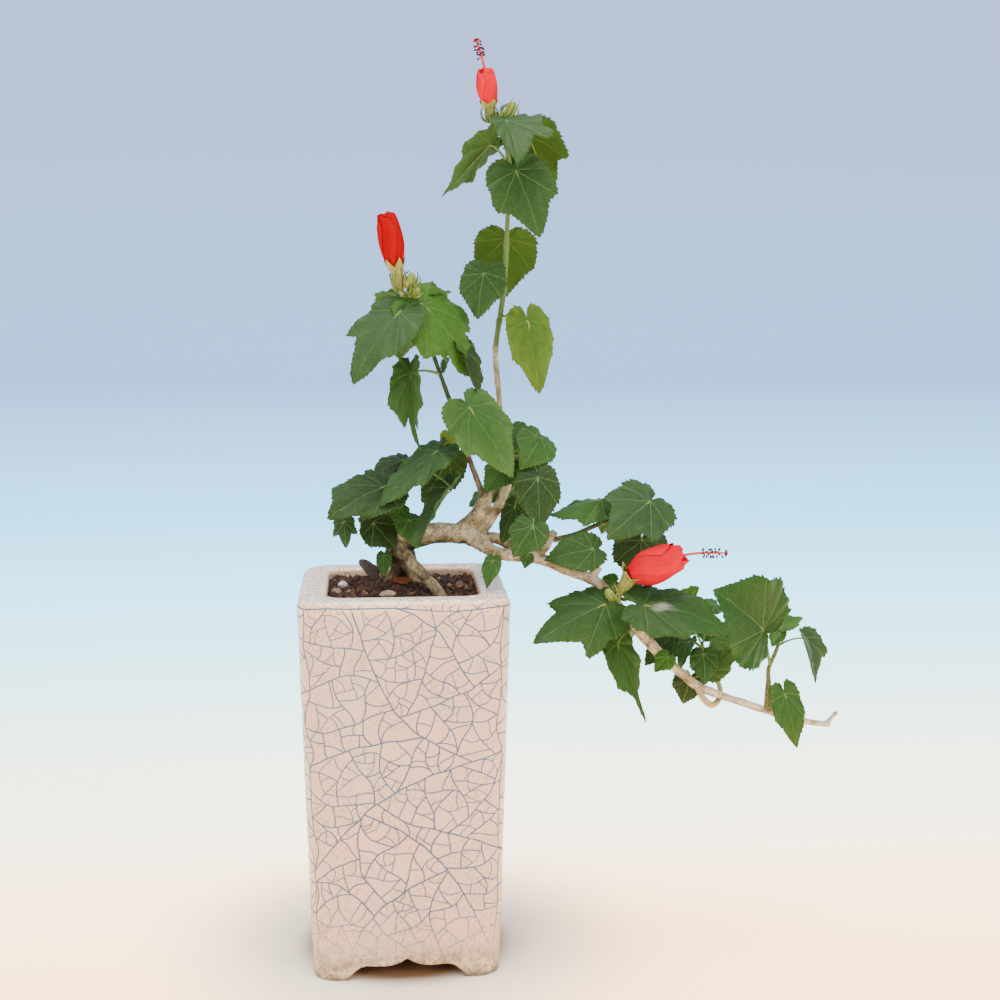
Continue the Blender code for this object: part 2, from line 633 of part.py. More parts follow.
# Each flower: pedicel's foot, calyx foot, corolla's foot and end, column's end, greatest radius
FLOWERS = {
    "flower_top": {
        "carrier": "leaves_top", "foot": (49.3, 8, 405), "calyx": (44.5, 8.5, 407), "throat": (43.5, 7.5, 415.5),
        "mouth": (41.5, 6, 430.5), "column": (37.5, 4, 445.5), "radius": 5.2, "belly": 0.45,
        "buds": (((49, 8, 405.5), (52, 8, 415)), ((49, 8, 405.5), (58, 9, 420))),
    },
    "flower_left": {
        "carrier": "leaves_left_crown", "foot": (1, -8, 327), "calyx": (0, -8, 330), "throat": (-2, -9, 340),
        "mouth": (-6, -10, 364), "column": None, "radius": 6.0, "belly": 0.45,
        "buds": (((3, -8, 326), (6, -10, 337)), ((4, -9, 324), (11, -12, 331))),
    },
    "flower_right": {
        "carrier": "bough_cascade_outer", "foot": (104.5, -9, 173.5), "calyx": (104, -15, 180),
        "throat": (110, -21, 191), "mouth": (136, -26, 202), "column": (155, -29, 202), "radius": 9.3, "belly": 0.4,
        "buds": (((104.5, -9.5, 173.5), (100.5, -13.5, 183)),),
    },
}
CALYX_RADIUS = 3.2
COLUMN_RADIUS = 0.55
STAMENS = 10
STAMEN_LENGTH = 2.6
STAMEN_TURN = 137.5
BRACTS = 6


def turned(name, profile, start, end, steps=10):
    """A turned body along an axis. Profile: (share of the axis, radius), from one end to the other."""
    start = Vector(start)
    axis = Vector(end) - start
    mesh = bpy.data.meshes.new(name)
    rows = [(radius * MM, 0.0, share * axis.length * MM) for share, radius in reversed(profile)]
    mesh.from_pydata(rows, [(i, i + 1) for i in range(len(rows) - 1)], [])
    obj = add_object(name, mesh, tools)
    screw = obj.modifiers.new("Turn", "SCREW")
    screw.steps = steps
    screw.render_steps = steps
    screw.use_merge_vertices = True
    screw.merge_threshold = 0.00001
    obj.matrix_world = Matrix.Translation(place(start)) @ axis.to_track_quat("Z", "Y").to_matrix().to_4x4()
    bpy.context.view_layer.update()
    body = bake(obj, name, tools)
    body.data.transform(body.matrix_world)
    body.matrix_world = Matrix()
    weld(body)
    return body


def cup(foot, end, bracts):
    """A calyx with the narrow bracts that curl round it."""
    foot = Vector(foot)
    axis = Vector(end) - foot
    across = axis.orthogonal().normalized()
    profile = ((0.0, 0.0), (0.05, 1.4), (0.3, CALYX_RADIUS * 0.9), (0.85, CALYX_RADIUS), (1.0, 0.0))
    pieces = [turned("calyx", profile, foot, end, 6)]
    for k in range(bracts):
        out = Matrix.Rotation(math.tau * k / bracts, 3, axis) @ across
        low = foot + axis * 0.08 + out * 0.6
        mid = foot + axis * 0.45 + out * CALYX_RADIUS * 1.35
        top = foot + axis * 0.95 + out * CALYX_RADIUS * 1.3
        pieces.append(tube("bract", [(*low, 0.7), (*mid, 0.6), (*top, 0.4)], 4, 1))
    return pieces


def make_flower(name, nodes, material):
    flower = FLOWERS[name]
    foot = Vector(flower["foot"])
    calyx = Vector(flower["calyx"])
    throat = Vector(flower["throat"])
    mouth = Vector(flower["mouth"])
    radius = flower["radius"]
    belly = flower["belly"]
    pieces = [tube("pedicel", [(*foot, 1.1), (*calyx.lerp(foot, 0.3), 1.0), (*calyx.lerp(throat, 0.2), 1.2)], 6, 1)]
    pieces += cup(calyx, throat, BRACTS)
    profile = ((-0.08, 0.0), (-0.05, CALYX_RADIUS * 0.6), (belly * 0.45, radius * 0.82), (belly, radius),
               (belly + 0.3, radius * 0.86), (1.0, radius * 0.5), (1.01, 0.0))
    pieces.append(turned("corolla", profile, throat, mouth))
    for low, high in flower["buds"]:
        low = Vector(low)
        high = Vector(high)
        pieces.append(tube("bud stalk", [(*low, 0.9), (*low.lerp(high, 0.3), 0.9), (*low.lerp(high, 0.6), 0.9)], 4, 1))
        pieces += cup(low.lerp(high, 0.25), high, 0)
    if flower["column"]:
        end = Vector(flower["column"])
        inside = mouth.lerp(throat, 0.3)
        pieces.append(tube("column", [(*inside, COLUMN_RADIUS), (*mouth.lerp(end, 0.3), COLUMN_RADIUS),
                                      (*end, COLUMN_RADIUS * 1.6)], 6, 1))
        axis = (end - mouth).normalized()
        across = axis.orthogonal().normalized()
        for k in range(STAMENS):
            out = Matrix.Rotation(math.radians(STAMEN_TURN * k), 3, axis) @ across
            root = mouth.lerp(end, 0.5 + 0.42 * k / STAMENS)
            far = root + out * STAMEN_LENGTH + axis * 0.8
            pieces.append(tube("stamen", [(*root, 0.3), (*far, 0.5)], 4, 1))
    body = seat(join(pieces, name), nodes[flower["carrier"]])
    return finish(body, name, material)


# ---------------------------------------------------------------- the plant

def clear_scene():
    for obj in list(bpy.data.objects):
        bpy.data.objects.remove(obj)


def main():
    global plant, tools
    clear_scene()
    plant = bpy.data.collections.new("turks_cap_bonsai")
    tools = bpy.data.collections.new("tools")
    for collection in (plant, tools):
        bpy.context.scene.collection.children.link(collection)
    materials = {name: make_material(name) for name in COLORS}

    nodes = {"pot": make_pot(materials["glaze"]), "soil": make_soil(materials["soil"])}
    nodes["trunk"] = make_trunk(materials["bark"])
    for name in LIMBS:
        nodes[name] = make_limb(name, nodes, materials["bark"])
    for name in MASSES:
        nodes[name] = make_mass(name, nodes, materials["leaf"])
    for name in LONE_LEAVES:
        nodes[name] = make_lone_leaf(name, nodes, materials["leaf"])
    for name in FLOWERS:
        nodes[name] = make_flower(name, nodes, materials["petal"])


main()
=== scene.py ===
import math
import random

import bmesh
import bpy
from mathutils import Matrix, Vector, noise
from mathutils.kdtree import KDTree


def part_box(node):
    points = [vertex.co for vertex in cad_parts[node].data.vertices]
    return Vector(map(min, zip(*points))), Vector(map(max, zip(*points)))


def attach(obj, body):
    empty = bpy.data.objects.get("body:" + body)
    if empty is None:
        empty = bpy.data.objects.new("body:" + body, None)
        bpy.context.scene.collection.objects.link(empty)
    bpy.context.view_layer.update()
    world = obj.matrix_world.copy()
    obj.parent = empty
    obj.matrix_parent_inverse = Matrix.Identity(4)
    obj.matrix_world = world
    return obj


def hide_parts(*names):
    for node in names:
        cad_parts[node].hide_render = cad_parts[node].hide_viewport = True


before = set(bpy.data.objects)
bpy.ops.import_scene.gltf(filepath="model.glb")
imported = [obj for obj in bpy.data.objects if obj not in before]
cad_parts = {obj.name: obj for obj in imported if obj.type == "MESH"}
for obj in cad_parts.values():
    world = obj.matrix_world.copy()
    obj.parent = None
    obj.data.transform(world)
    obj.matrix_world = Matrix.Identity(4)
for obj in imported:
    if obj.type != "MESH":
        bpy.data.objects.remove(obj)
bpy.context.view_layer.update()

mm = 0.001
potLow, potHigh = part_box("pot")
potMiddle = Vector(((potLow[0] + potHigh[0]) / 2, (potLow[1] + potHigh[1]) / 2, 0.0))


def at(point):  # millimetres from the pot's middle on the ground, to the shared frame
    return potMiddle + Vector(point[:3]) * mm


def toLinear(hexColor):
    parts = [int(hexColor[i:i + 2], 16) / 255 for i in (1, 3, 5)]
    return (*[c / 12.92 if c <= 0.04045 else ((c + 0.055) / 1.055) ** 2.4 for c in parts], 1.0)


def mixTint(first, second, share):
    return tuple(a + (b - a) * share for a, b in zip(first, second))


def addNode(tree, kind, settings=None, values=None, links=None):
    node = tree.nodes.new(kind)
    for name, value in (settings or {}).items():
        setattr(node, name, value)
    for socket, value in (values or {}).items():
        node.inputs[socket].default_value = value
    for socket, source in (links or {}).items():
        tree.links.new(source, node.inputs[socket])
    return node


def newMaterial(name, values):
    material = bpy.data.materials.new(name)
    material.use_nodes = True
    tree = material.node_tree
    shader = tree.nodes["Principled BSDF"]
    for socket, value in values.items():
        shader.inputs[socket].default_value = value
    return material, tree, shader


def mathNode(tree, operation, first, second=None, third=None, clamp=False):
    values, links = {}, {}
    for socket, value in enumerate((first, second, third)):
        if value is None:
            continue
        if isinstance(value, (int, float)):
            values[socket] = value
        else:
            links[socket] = value
    return addNode(tree, "ShaderNodeMath", {"operation": operation, "use_clamp": clamp}, values, links).outputs[0]


def mixColors(tree, factor, first, second, blend="MIX"):
    values, links = {}, {}
    for socket, value in ((0, factor), (6, first), (7, second)):
        if isinstance(value, (int, float, tuple)):
            values[socket] = value
        else:
            links[socket] = value
    return addNode(tree, "ShaderNodeMix", {"data_type": "RGBA", "blend_type": blend}, values, links).outputs[2]


def remap(tree, value, low, high, toLow=0.0, toHigh=1.0):
    return addNode(tree, "ShaderNodeMapRange", {"interpolation_type": "SMOOTHSTEP"},
                   {1: low, 2: high, 3: toLow, 4: toHigh}, {0: value}).outputs[0]


# ---- camera, floor and light

view = {
    "place": (-0.1003, -0.7732, 0.3375), "tilt": 0.143, "turn": -0.080, "lens": 57.45,
}
camera = bpy.data.objects.new("camera", bpy.data.cameras.new("camera"))
bpy.context.scene.collection.objects.link(camera)
camera.location = view["place"]
camera.rotation_euler = (math.pi / 2 - view["tilt"], 0.0, view["turn"])
camera.data.lens = view["lens"]
camera.data.sensor_width = 36.0
bpy.context.scene.camera = camera

studio = {
    "floorWidth": 9.0, "floorDepth": 6.0, "front": -5.0, "bend": 2.0,
    # by depth in metres: the paper's colour, the colour of its painted glow (emitted, not from a lamp), and how
    # strongly
    "runs": ((-0.5, "#FFF6E8", "#FFC989", 1.2), (-0.08, "#FFF6E8", "#FFAF3A", 3.5),
             (0.07, "#FFF7EA", "#FFCA8B", 3.9), (0.143, "#FFF7EB", "#FFF0CA", 3.05),
             (0.3, "#F7F6EF", "#DAFFDA", 2.7), (0.4, "#E7F1EF", "#CAFFFC", 2.43), (0.52, "#CBE7EA", "#AEF2FF", 2.6),
             (0.665, "#B8E1EA", "#89E5FF", 2.8), (0.845, "#A6D4E8", "#70DBFF", 3.1),
             (1.08, "#A2D3E8", "#60D0FF", 2.85), (1.38, "#A0D1E8", "#57C8FF", 2.6),
             (2.24, "#A0D0E5", "#76C6FF", 1.77), (4, "#9CC6E2", "#8FC4FF", 1.05)),
    # the upper backdrop: the paper's colour, its painted glow colour, and how strongly
    "high": ("#A8B8D4", "#BECDFF", 0.7),
    "world": "#F0F0F0", "worldStrength": 1.0,
    "lamps": (  # place, aim, width, power, colour
        ((-0.9, -1.4, 1.1), (-0.03, 0.0, 0.22), 1.0, 17.0, "#FFF2E4"),
        ((1.0, -1.2, 0.9), (-0.03, 0.0, 0.2), 0.9, 21.0, "#FFF4EA"),
        ((-0.1, -0.1, 1.9), (0.0, 0.0, 0.2), 1.2, 50.0, "#FFF6EC"),
    ),
}


def makeFloor():
    path = [(studio["front"], 0.0)]
    path += [(run[0], 0.0) for run in studio["runs"][:-1]]
    bend, back = studio["bend"], studio["floorDepth"] - studio["bend"]
    for k in range(25):
        turn = math.radians(90 * k / 24)
        path.append((back + bend * math.sin(turn), bend * (1 - math.cos(turn))))
    path.append((back + bend, bend + 4.0))
    mesh = bpy.data.meshes.new("floor")
    half = studio["floorWidth"] / 2
    verts = [(x, y, z) for y, z in path for x in (-half, half)]
    faces = [(2 * i, 2 * i + 1, 2 * i + 3, 2 * i + 2) for i in range(len(path) - 1)]
    mesh.from_pydata(verts, [], faces)
    mesh.shade_smooth()
    floor = bpy.data.objects.new("floor", mesh)
    bpy.context.scene.collection.objects.link(floor)
    paper, tree, shader = newMaterial("pale paper backdrop", {"Roughness": 0.9, "Specular IOR Level": 0.1})  # matt, even
    place = addNode(tree, "ShaderNodeTexCoord").outputs["Object"]
    parts = addNode(tree, "ShaderNodeSeparateXYZ", links={0: place}).outputs
    first, last = studio["runs"][0][0], studio["runs"][-1][0]
    depth = addNode(tree, "ShaderNodeMapRange", values={1: first, 2: last}, links={0: parts[1]}).outputs[0]
    ramp, glow = [addNode(tree, "ShaderNodeValToRGB", links={0: depth}) for _ in range(2)]
    for node in (ramp, glow):
        while len(node.color_ramp.elements) < len(studio["runs"]):
            node.color_ramp.elements.new(0.5)
    brightest = max(run[3] for run in studio["runs"])
    for i, (y, color, paintedGlowColor, strength) in enumerate(studio["runs"]):
        given = mixTint((0.0, 0.0, 0.0, 1.0), toLinear(paintedGlowColor), strength / brightest)
        for node, value in ((ramp, toLinear(color)), (glow, given)):
            node.color_ramp.elements[i].position = (y - first) / (last - first)
            node.color_ramp.elements[i].color = value
    upper = remap(tree, parts[2], 0.02, 1.3)
    color, paintedGlowColor, strength = studio["high"]
    given = mixTint((0.0, 0.0, 0.0, 1.0), toLinear(paintedGlowColor), strength / brightest)
    level = addNode(tree, "ShaderNodeVectorMath", {"operation": "MULTIPLY"}, {1: (1.0, 1.0, 0.0)}, {0: place}).outputs[0]
    far = addNode(tree, "ShaderNodeVectorMath", {"operation": "DISTANCE"}, {1: tuple(potMiddle)}, {0: level}).outputs[1]
    sheet = mixColors(tree, upper, ramp.outputs[0], toLinear(color))
    # painted shadow: the paper's colour turns dark brown under and just round the pot's foot
    tree.links.new(mixColors(tree, remap(tree, far, 0.04, 0.058), toLinear("#86664C"), sheet), shader.inputs["Base Color"])
    # painted glow: the paper emits light of its own, graded by depth and height
    paintedGlow = mixColors(tree, upper, glow.outputs[0], given)
    paintedGlow = mixColors(tree, remap(tree, far, 0.05, 0.15), (0.0, 0.0, 0.0, 1.0), paintedGlow)  # painted shade: the glow fades out round the pot's foot
    tree.links.new(paintedGlow, shader.inputs["Emission Color"])
    shader.inputs["Emission Strength"].default_value = brightest
    floor.data.materials.append(paper)


def addLamp(name, place, aim, width, power, color):
    data = bpy.data.lights.new(name, "AREA")
    data.shape = "DISK"
    data.size = width
    data.energy = power
    data.color = toLinear(color)[:3]
    lamp = bpy.data.objects.new(name, data)
    bpy.context.scene.collection.objects.link(lamp)
    lamp.location = place
    lamp.rotation_euler = (Vector(aim) - Vector(place)).to_track_quat("-Z", "Y").to_euler()


makeFloor()
for number, lampRow in enumerate(studio["lamps"]):
    addLamp("softbox%d" % number, *lampRow)
world = bpy.data.worlds.new("studio air")
bpy.context.scene.world = world
world.use_nodes = True
world.node_tree.nodes["Background"].inputs[0].default_value = toLinear(studio["world"])
world.node_tree.nodes["Background"].inputs[1].default_value = studio["worldStrength"]
print("camera, floor and light set")


# ---- meshes from rows of points

def newPiece():
    return {"verts": [], "faces": [], "tints": [], "uvs": []}


def addGrid(piece, rows, closed=False, tints=None, uvs=None):
    # rows of points make a skin
    start = len(piece["verts"])
    count = len(rows[0])
    for i, row in enumerate(rows):
        piece["verts"] += row
        piece["tints"] += tints[i] if tints else [(1.0, 1.0, 1.0, 1.0)] * count
        piece["uvs"] += uvs[i] if uvs else [(0.0, 0.0)] * count
    for i in range(len(rows) - 1):
        for j in range(count if closed else count - 1):
            k = (j + 1) % count
            a = start + i * count
            b = a + count
            piece["faces"].append((a + j, a + k, b + k, b + j))
    return start


def curvePath(points, perSpan=4):  # a round curve through the points, radius and all
    rows = [Vector(p) for p in points]
    ends = [rows[0] * 2 - rows[1]] + rows + [rows[-1] * 2 - rows[-2]]
    out = []
    for i in range(1, len(ends) - 2):
        a, b, c, d = ends[i - 1:i + 3]
        for k in range(perSpan):
            t = k / perSpan
            out.append((b * 2 + (c - a) * t + (a * 2 - b * 5 + c * 4 - d) * t * t
                        + (b * 3 - a - c * 3 + d) * t * t * t) * 0.5)
    out.append(rows[-1])
    return out


def along(route, share):
    points = [Vector(p[:3]) for p in route]
    steps = [(b - a).length for a, b in zip(points, points[1:])]
    left = share * sum(steps)
    for a, b, step in zip(points, points[1:], steps):
        if left <= step:
            return a.lerp(b, left / step)
        left -= step
    return points[-1]


def addTube(piece, route, tints, sides=8, perSpan=4):  # rows of x, y, z, radius in mm
    rows = curvePath(route, perSpan)
    points = [Vector(r[:3]) for r in rows]
    ahead = (points[1] - points[0]).normalized()
    across = ahead.orthogonal().normalized()
    rings, colors = [], []
    for i, point in enumerate(points):
        last = points[max(i - 1, 0)]
        after = points[min(i + 1, len(points) - 1)]
        ahead = (after - last).normalized()
        across = (across - ahead * across.dot(ahead)).normalized()
        third = ahead.cross(across)
        turns = [math.tau * k / sides for k in range(sides)]
        rings.append([at(point + (across * math.cos(t) + third * math.sin(t)) * rows[i][3]) for t in turns])
        colors.append([mixTint(tints[0], tints[1], i / (len(points) - 1))] * sides)
    start = addGrid(piece, rings, True, colors)
    for ring, order in ((0, -1), (len(rings) - 1, 1)):
        piece["faces"].append(tuple(start + ring * sides + k for k in range(sides))[::order])


def makePiece(name, piece, materials, nodes=(), smooth=40):
    mesh = bpy.data.meshes.new(name)
    mesh.from_pydata(piece["verts"], [], piece["faces"])
    tint = mesh.color_attributes.new("tint", "FLOAT_COLOR", "POINT")
    for i, color in enumerate(piece["tints"]):
        tint.data[i].color = color
    plane = mesh.uv_layers.new(name="plane")
    uvs = piece["uvs"]
    for loop in mesh.loops:
        plane.data[loop.index].uv = uvs[loop.vertex_index]
    for material in materials:
        mesh.materials.append(material)
    mesh.shade_smooth()
    if smooth:
        mesh.set_sharp_from_angle(angle=math.radians(smooth))
    made = bpy.data.objects.new(name, mesh)
    bpy.context.scene.collection.objects.link(made)
    settle(made, nodes)
    return made


def settle(made, nodes):
    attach(made, "root")
    if nodes:
        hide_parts(*nodes)


# ---- the pot

pot = {
    "rimHalf": 50.0, "baseHalf": 45.2, "height": 186.0, "corner": 12.0, "wall": 13.5,
    "outerLip": 4.0, "innerLip": 2.5, "footRound": 1.5, "recessHalf": 35.0, "recessTop": 10.2,
    "cavityFloor": 20.0, "cavityFloorHalf": 33.0, "cavityCorner": 9.0,
    "cutOut": ((0.0, 10.0), (1.0, 9.4), (3.0, 8.1), (5.0, 7.3), (8.0, 6.6), (11.0, 6.35), (15.0, 6.5),
               (19.5, 6.8), (22.0, 6.2), (24.0, 5.0), (26.0, 3.3), (27.4, 1.9), (28.3, 0.0), (33.2, 0.0)),
    "unevenness": 0.16, "unevenGrain": 26.0,
}
flatSamples = [0.0, 1.0, 2.0, 3.0, 4.0, 5.0, 6.5, 8.0, 9.5, 11.0, 13.0, 15.0, 17.0, 18.5, 19.5, 20.8, 22.0, 23.0,
               24.0, 25.0, 26.0, 26.8, 27.4, 27.9, 28.3, 29.5, 31.3]
cornerSteps = 10


def cutOutHeight(offset):
    offset = abs(offset)
    rows = pot["cutOut"]
    for (u0, z0), (u1, z1) in zip(rows, rows[1:]):
        if offset <= u1:
            share = (offset - u0) / (u1 - u0)
            return z0 + (z1 - z0) * share
    return 0.0


def uneven(point):  # the slight swell of thick glaze over a hand-built wall
    swell = noise.noise(Vector(point) / pot["unevenGrain"] + Vector((3.1, 7.7, 1.9)))
    return swell * pot["unevenness"]


def potRing(half, corner, height):  # height is a level, or a rule that takes the place on the flat
    flat = half - corner
    spread = flat / flatSamples_flat
    ring = []
    for quarter in range(4):
        middle = math.radians(45 + 90 * quarter)
        cx = math.copysign(flat, math.cos(middle))
        cy = math.copysign(flat, math.sin(middle))
        for k in range(cornerSteps + 1):
            turn = math.radians(90 * quarter + 90 * k / cornerSteps)
            ring.append((cx + corner * math.cos(turn), cy + corner * math.sin(turn), flat * 1.01))
        run = Vector((-math.sin(math.radians(90 * quarter + 90)), math.cos(math.radians(90 * quarter + 90)))) * 1.0
        out = Vector((math.cos(math.radians(90 * quarter + 90)), math.sin(math.radians(90 * quarter + 90))))
        offsets = [-u for u in reversed(flatSamples[1:])] + flatSamples
        for offset in offsets:
            offset *= spread
            ring.append((out.x * half + run.x * offset, out.y * half + run.y * offset, offset))
    made = []
    for x, y, offset in ring:
        z = height(offset) if callable(height) else height
        away = Vector((x, y, 0)).normalized() * uneven((x, y, z))
        made.append(at((x + away.x, y + away.y, z)))
    return made


flatSamples_flat = pot["baseHalf"] - pot["corner"]


def potHalf(z):
    rise = (z - pot["footRound"]) / (pot["height"] - pot["outerLip"] - pot["footRound"])
    return pot["baseHalf"] + (pot["rimHalf"] - pot["baseHalf"]) * max(0.0, min(1.0, rise))


def makePotShell(material):
    corner = pot["corner"]
    rings = [potRing(4.0, 1.0, pot["recessTop"]), potRing(20.0, 3.0, pot["recessTop"]),
             potRing(pot["recessHalf"] - 0.8, 6.0, pot["recessTop"])]
    recess = pot["recessHalf"]
    rings.append(potRing(recess, 6.0, lambda u: max(cutOutHeight(u), pot["recessTop"] - 0.9)))
    rings.append(potRing(recess, 6.0, lambda u: cutOutHeight(u) + 0.8))
    rings.append(potRing(recess + 0.8, 6.8, cutOutHeight))
    rings.append(potRing(40.0, 9.0, cutOutHeight))
    round_ = pot["footRound"]
    for k in range(5):
        turn = math.radians(90 * k / 4)
        inset = round_ * (1 - math.sin(turn))
        rise = round_ * (1 - math.cos(turn))
        rings.append(potRing(pot["baseHalf"] - inset, corner - inset, lambda u, rise=rise: cutOutHeight(u) + rise))
    top = pot["height"] - pot["outerLip"]
    for share in (0.012, 0.03, 0.05, 0.075, 0.11, 0.16, 0.22, 0.3, 0.38, 0.46, 0.54, 0.62, 0.7, 0.78, 0.86, 0.93, 0.97):
        def level(u, share=share):
            low = cutOutHeight(u) + round_
            return low + (top - low) * share
        rings.append(potRing(potHalf(level(30.0)), corner, level))
    for k in range(9):
        turn = math.radians(90 * k / 8)
        inset = pot["outerLip"] * (1 - math.cos(turn))
        rings.append(potRing(pot["rimHalf"] - inset, corner - inset, top + pot["outerLip"] * math.sin(turn)))
    inner = pot["rimHalf"] - pot["wall"]
    rings.append(potRing(inner + 6.0, 9.5, pot["height"] + 0.0))
    rings.append(potRing(inner + 4.0, 8.6, pot["height"] - 0.05))
    for k in range(7):
        turn = math.radians(90 * k / 6)
        outset = pot["innerLip"] * (1 - math.sin(turn))
        z = pot["height"] - pot["innerLip"] * (1 - math.cos(turn))
        rings.append(potRing(inner + outset, pot["cavityCorner"] + outset, z))
    for z in (176.0, 160.0, pot["cavityFloor"]):
        share = (z - pot["cavityFloor"]) / (pot["height"] - pot["cavityFloor"])
        rings.append(potRing(pot["cavityFloorHalf"] + (inner - pot["cavityFloorHalf"]) * share, 6.0, z))
    rings.append(potRing(8.0, 2.0, pot["cavityFloor"]))
    shell = newPiece()
    start = addGrid(shell, rings, True)
    count = len(rings[0])
    shell["faces"].append(tuple(start + k for k in range(count))[::-1])
    shell["faces"].append(tuple(start + (len(rings) - 1) * count + k for k in range(count)))
    made = makePiece("potShell", shell, [material], ("pot",), 50)
    return made


# The crackle: each panel of glaze splits, then its pieces split, always from crack to crack
crackle = {
    "seed": 47, "cornerLines": (0.5,), "rimLine": 182.6, "lowest": 1.5,
    "smallest": 26.0, "largest": 135.0, "step": 1.5, "bulge": 0.115, "skew": 19.0,
    "widths": (0.62, 0.62, 0.62, 0.61, 0.60, 0.58, 0.56, 0.53, 0.49, 0.45), "proud": 0.05, "keel": 0.12,
    "top": 197.0,
}
arcLength = math.pi / 2 * pot["corner"]
flatLength = 2 * (pot["baseHalf"] + 2.4 - pot["corner"])
quarterLength = arcLength + flatLength


def onGlaze(s, v):
    # a place on the skin by its run round the pot and its run up it, and the way out there
    quarter, run = divmod(s, quarterLength)
    top = pot["height"] - pot["outerLip"]
    lip = pot["outerLip"] * math.pi / 2
    land = pot["wall"] - pot["outerLip"] - pot["innerLip"]
    lift = 0.0
    if v <= top:
        half, z, corner = potHalf(v), v, pot["corner"]
    elif v <= top + lip:
        turn = (v - top) / pot["outerLip"]
        inset = pot["outerLip"] * (1 - math.cos(turn))
        half, z, corner, lift = pot["rimHalf"] - inset, top + pot["outerLip"] * math.sin(turn), pot["corner"] - inset, turn
    elif v <= top + lip + land:
        inset = pot["outerLip"] + v - top - lip
        half, z, corner, lift = pot["rimHalf"] - inset, pot["height"], max(pot["corner"] - inset, 6.0), math.pi / 2
        corner = max(pot["corner"] - inset * 0.55, pot["cavityCorner"] + pot["innerLip"])
    else:
        turn = min((v - top - lip - land) / pot["innerLip"], math.pi / 2)
        inset = pot["wall"] - pot["innerLip"] * (1 - math.sin(turn))
        half, z = pot["rimHalf"] - inset, pot["height"] - pot["innerLip"] * (1 - math.cos(turn))
        corner, lift = pot["cavityCorner"] + pot["innerLip"] * (1 - math.sin(turn)), math.pi / 2 + turn
    base = math.radians(90 * quarter)
    if run < arcLength:
        turn = base + math.pi / 2 * run / arcLength
        middle = math.radians(45 + 90 * quarter)
        cx = math.copysign(half - corner, math.cos(middle))
        cy = math.copysign(half - corner, math.sin(middle))
        point = Vector((cx + corner * math.cos(turn), cy + corner * math.sin(turn), z))
        out = Vector((math.cos(turn), math.sin(turn), 0))
    else:
        out = Vector((math.cos(base + math.pi / 2), math.sin(base + math.pi / 2), 0))
        side = Vector((-out.y, out.x, 0))
        offset = ((run - arcLength) / flatLength * 2 - 1) * (half - corner)
        point = out * half + side * offset + Vector((0, 0, z))
    flat = Vector((point.x, point.y, 0)).normalized()
    point += flat * uneven(point)
    normal = (out * math.cos(lift) + Vector((0, 0, 1)) * math.sin(lift)).normalized()
    return point, normal


def flatOffset(s):  # how far along its flat a place is from the middle, at the foot
    run = s % quarterLength
    if run < arcLength:
        return 99.0
    return ((run - arcLength) / flatLength * 2 - 1) * (pot["baseHalf"] - pot["corner"])


def cellArea(cell):
    return abs(sum(a[0] * b[1] - b[0] * a[1] for a, b in zip(cell, cell[1:] + cell[:1]))) / 2


def splitCell(cell, rng):
    area = cellArea(cell)
    cx = sum(p[0] for p in cell) / len(cell)
    cy = sum(p[1] for p in cell) / len(cell)
    xx = sum((p[0] - cx) ** 2 for p in cell)
    yy = sum((p[1] - cy) ** 2 for p in cell)
    xy = sum((p[0] - cx) * (p[1] - cy) for p in cell)
    main = 0.5 * math.atan2(2 * xy, xx - yy)
    reach = math.sqrt(area)
    shift = rng.uniform(-0.28, 0.28) * reach
    ox, oy = cx + math.cos(main) * shift, cy + math.sin(main) * shift
    turn = main + math.pi / 2 + math.radians(rng.gauss(0, crackle["skew"]))
    dx, dy = math.cos(turn), math.sin(turn)
    hits = []
    for i, a in enumerate(cell):
        b = cell[(i + 1) % len(cell)]
        ex, ey = b[0] - a[0], b[1] - a[1]
        cross = dx * ey - dy * ex
        if abs(cross) < 1e-9:
            continue
        t = ((a[0] - ox) * ey - (a[1] - oy) * ex) / cross
        u = ((a[0] - ox) * dy - (a[1] - oy) * dx) / cross
        if 0 <= u < 1:
            hits.append((t, i, (ox + dx * t, oy + dy * t)))
    ahead = [h for h in hits if h[0] > 0]
    behind = [h for h in hits if h[0] <= 0]
    if not ahead or not behind:
        return None
    high, low = min(ahead), max(behind)
    (tA, iA, pA), (tB, iB, pB) = low, high
    span = tB - tA
    if iA == iB or span < 1.2:
        return None
    steps = max(3, int(span / crackle["step"]))
    bulge = max(-0.16, min(0.16, rng.gauss(0, crackle["bulge"]))) * span
    wave = rng.uniform(-0.04, 0.04) * span
    seat = rng.uniform(0, 90)
    curve = []
    for k in range(steps + 1):
        share = k / steps
        side = bulge * math.sin(math.pi * share) + wave * math.sin(math.tau * share)
        side += noise.noise(Vector((seat, span * share / 11.0, 2.0))) * min(1.7, span * 0.05) * math.sin(math.pi * share)
        curve.append((pA[0] + (pB[0] - pA[0]) * share - dy * side, pA[1] + (pB[1] - pA[1]) * share + dx * side))
    if iA < iB:
        first = cell[iA + 1:iB + 1]
        second = cell[iB + 1:] + cell[:iA + 1]
        return first + curve[::-1], second + curve, curve
    first = cell[iB + 1:iA + 1]
    second = cell[iA + 1:] + cell[:iB + 1]
    return first + curve, second + curve[::-1], curve


def wavyLine(a, b, rng, sway=0.5):
    length = math.dist(a, b)
    steps = max(2, int(length / crackle["step"]))
    grain, seat = rng.uniform(14, 30), rng.uniform(0, 100)
    dx, dy = (b[0] - a[0]) / length, (b[1] - a[1]) / length
    out = []
    for k in range(steps + 1):
        share = k / steps
        side = noise.noise(Vector((seat, length * share / grain, 0.0))) * sway * min(1.0, share * 8, (1 - share) * 8)
        out.append((a[0] + (b[0] - a[0]) * share - dy * side, a[1] + (b[1] - a[1]) * share + dx * side))
    return out


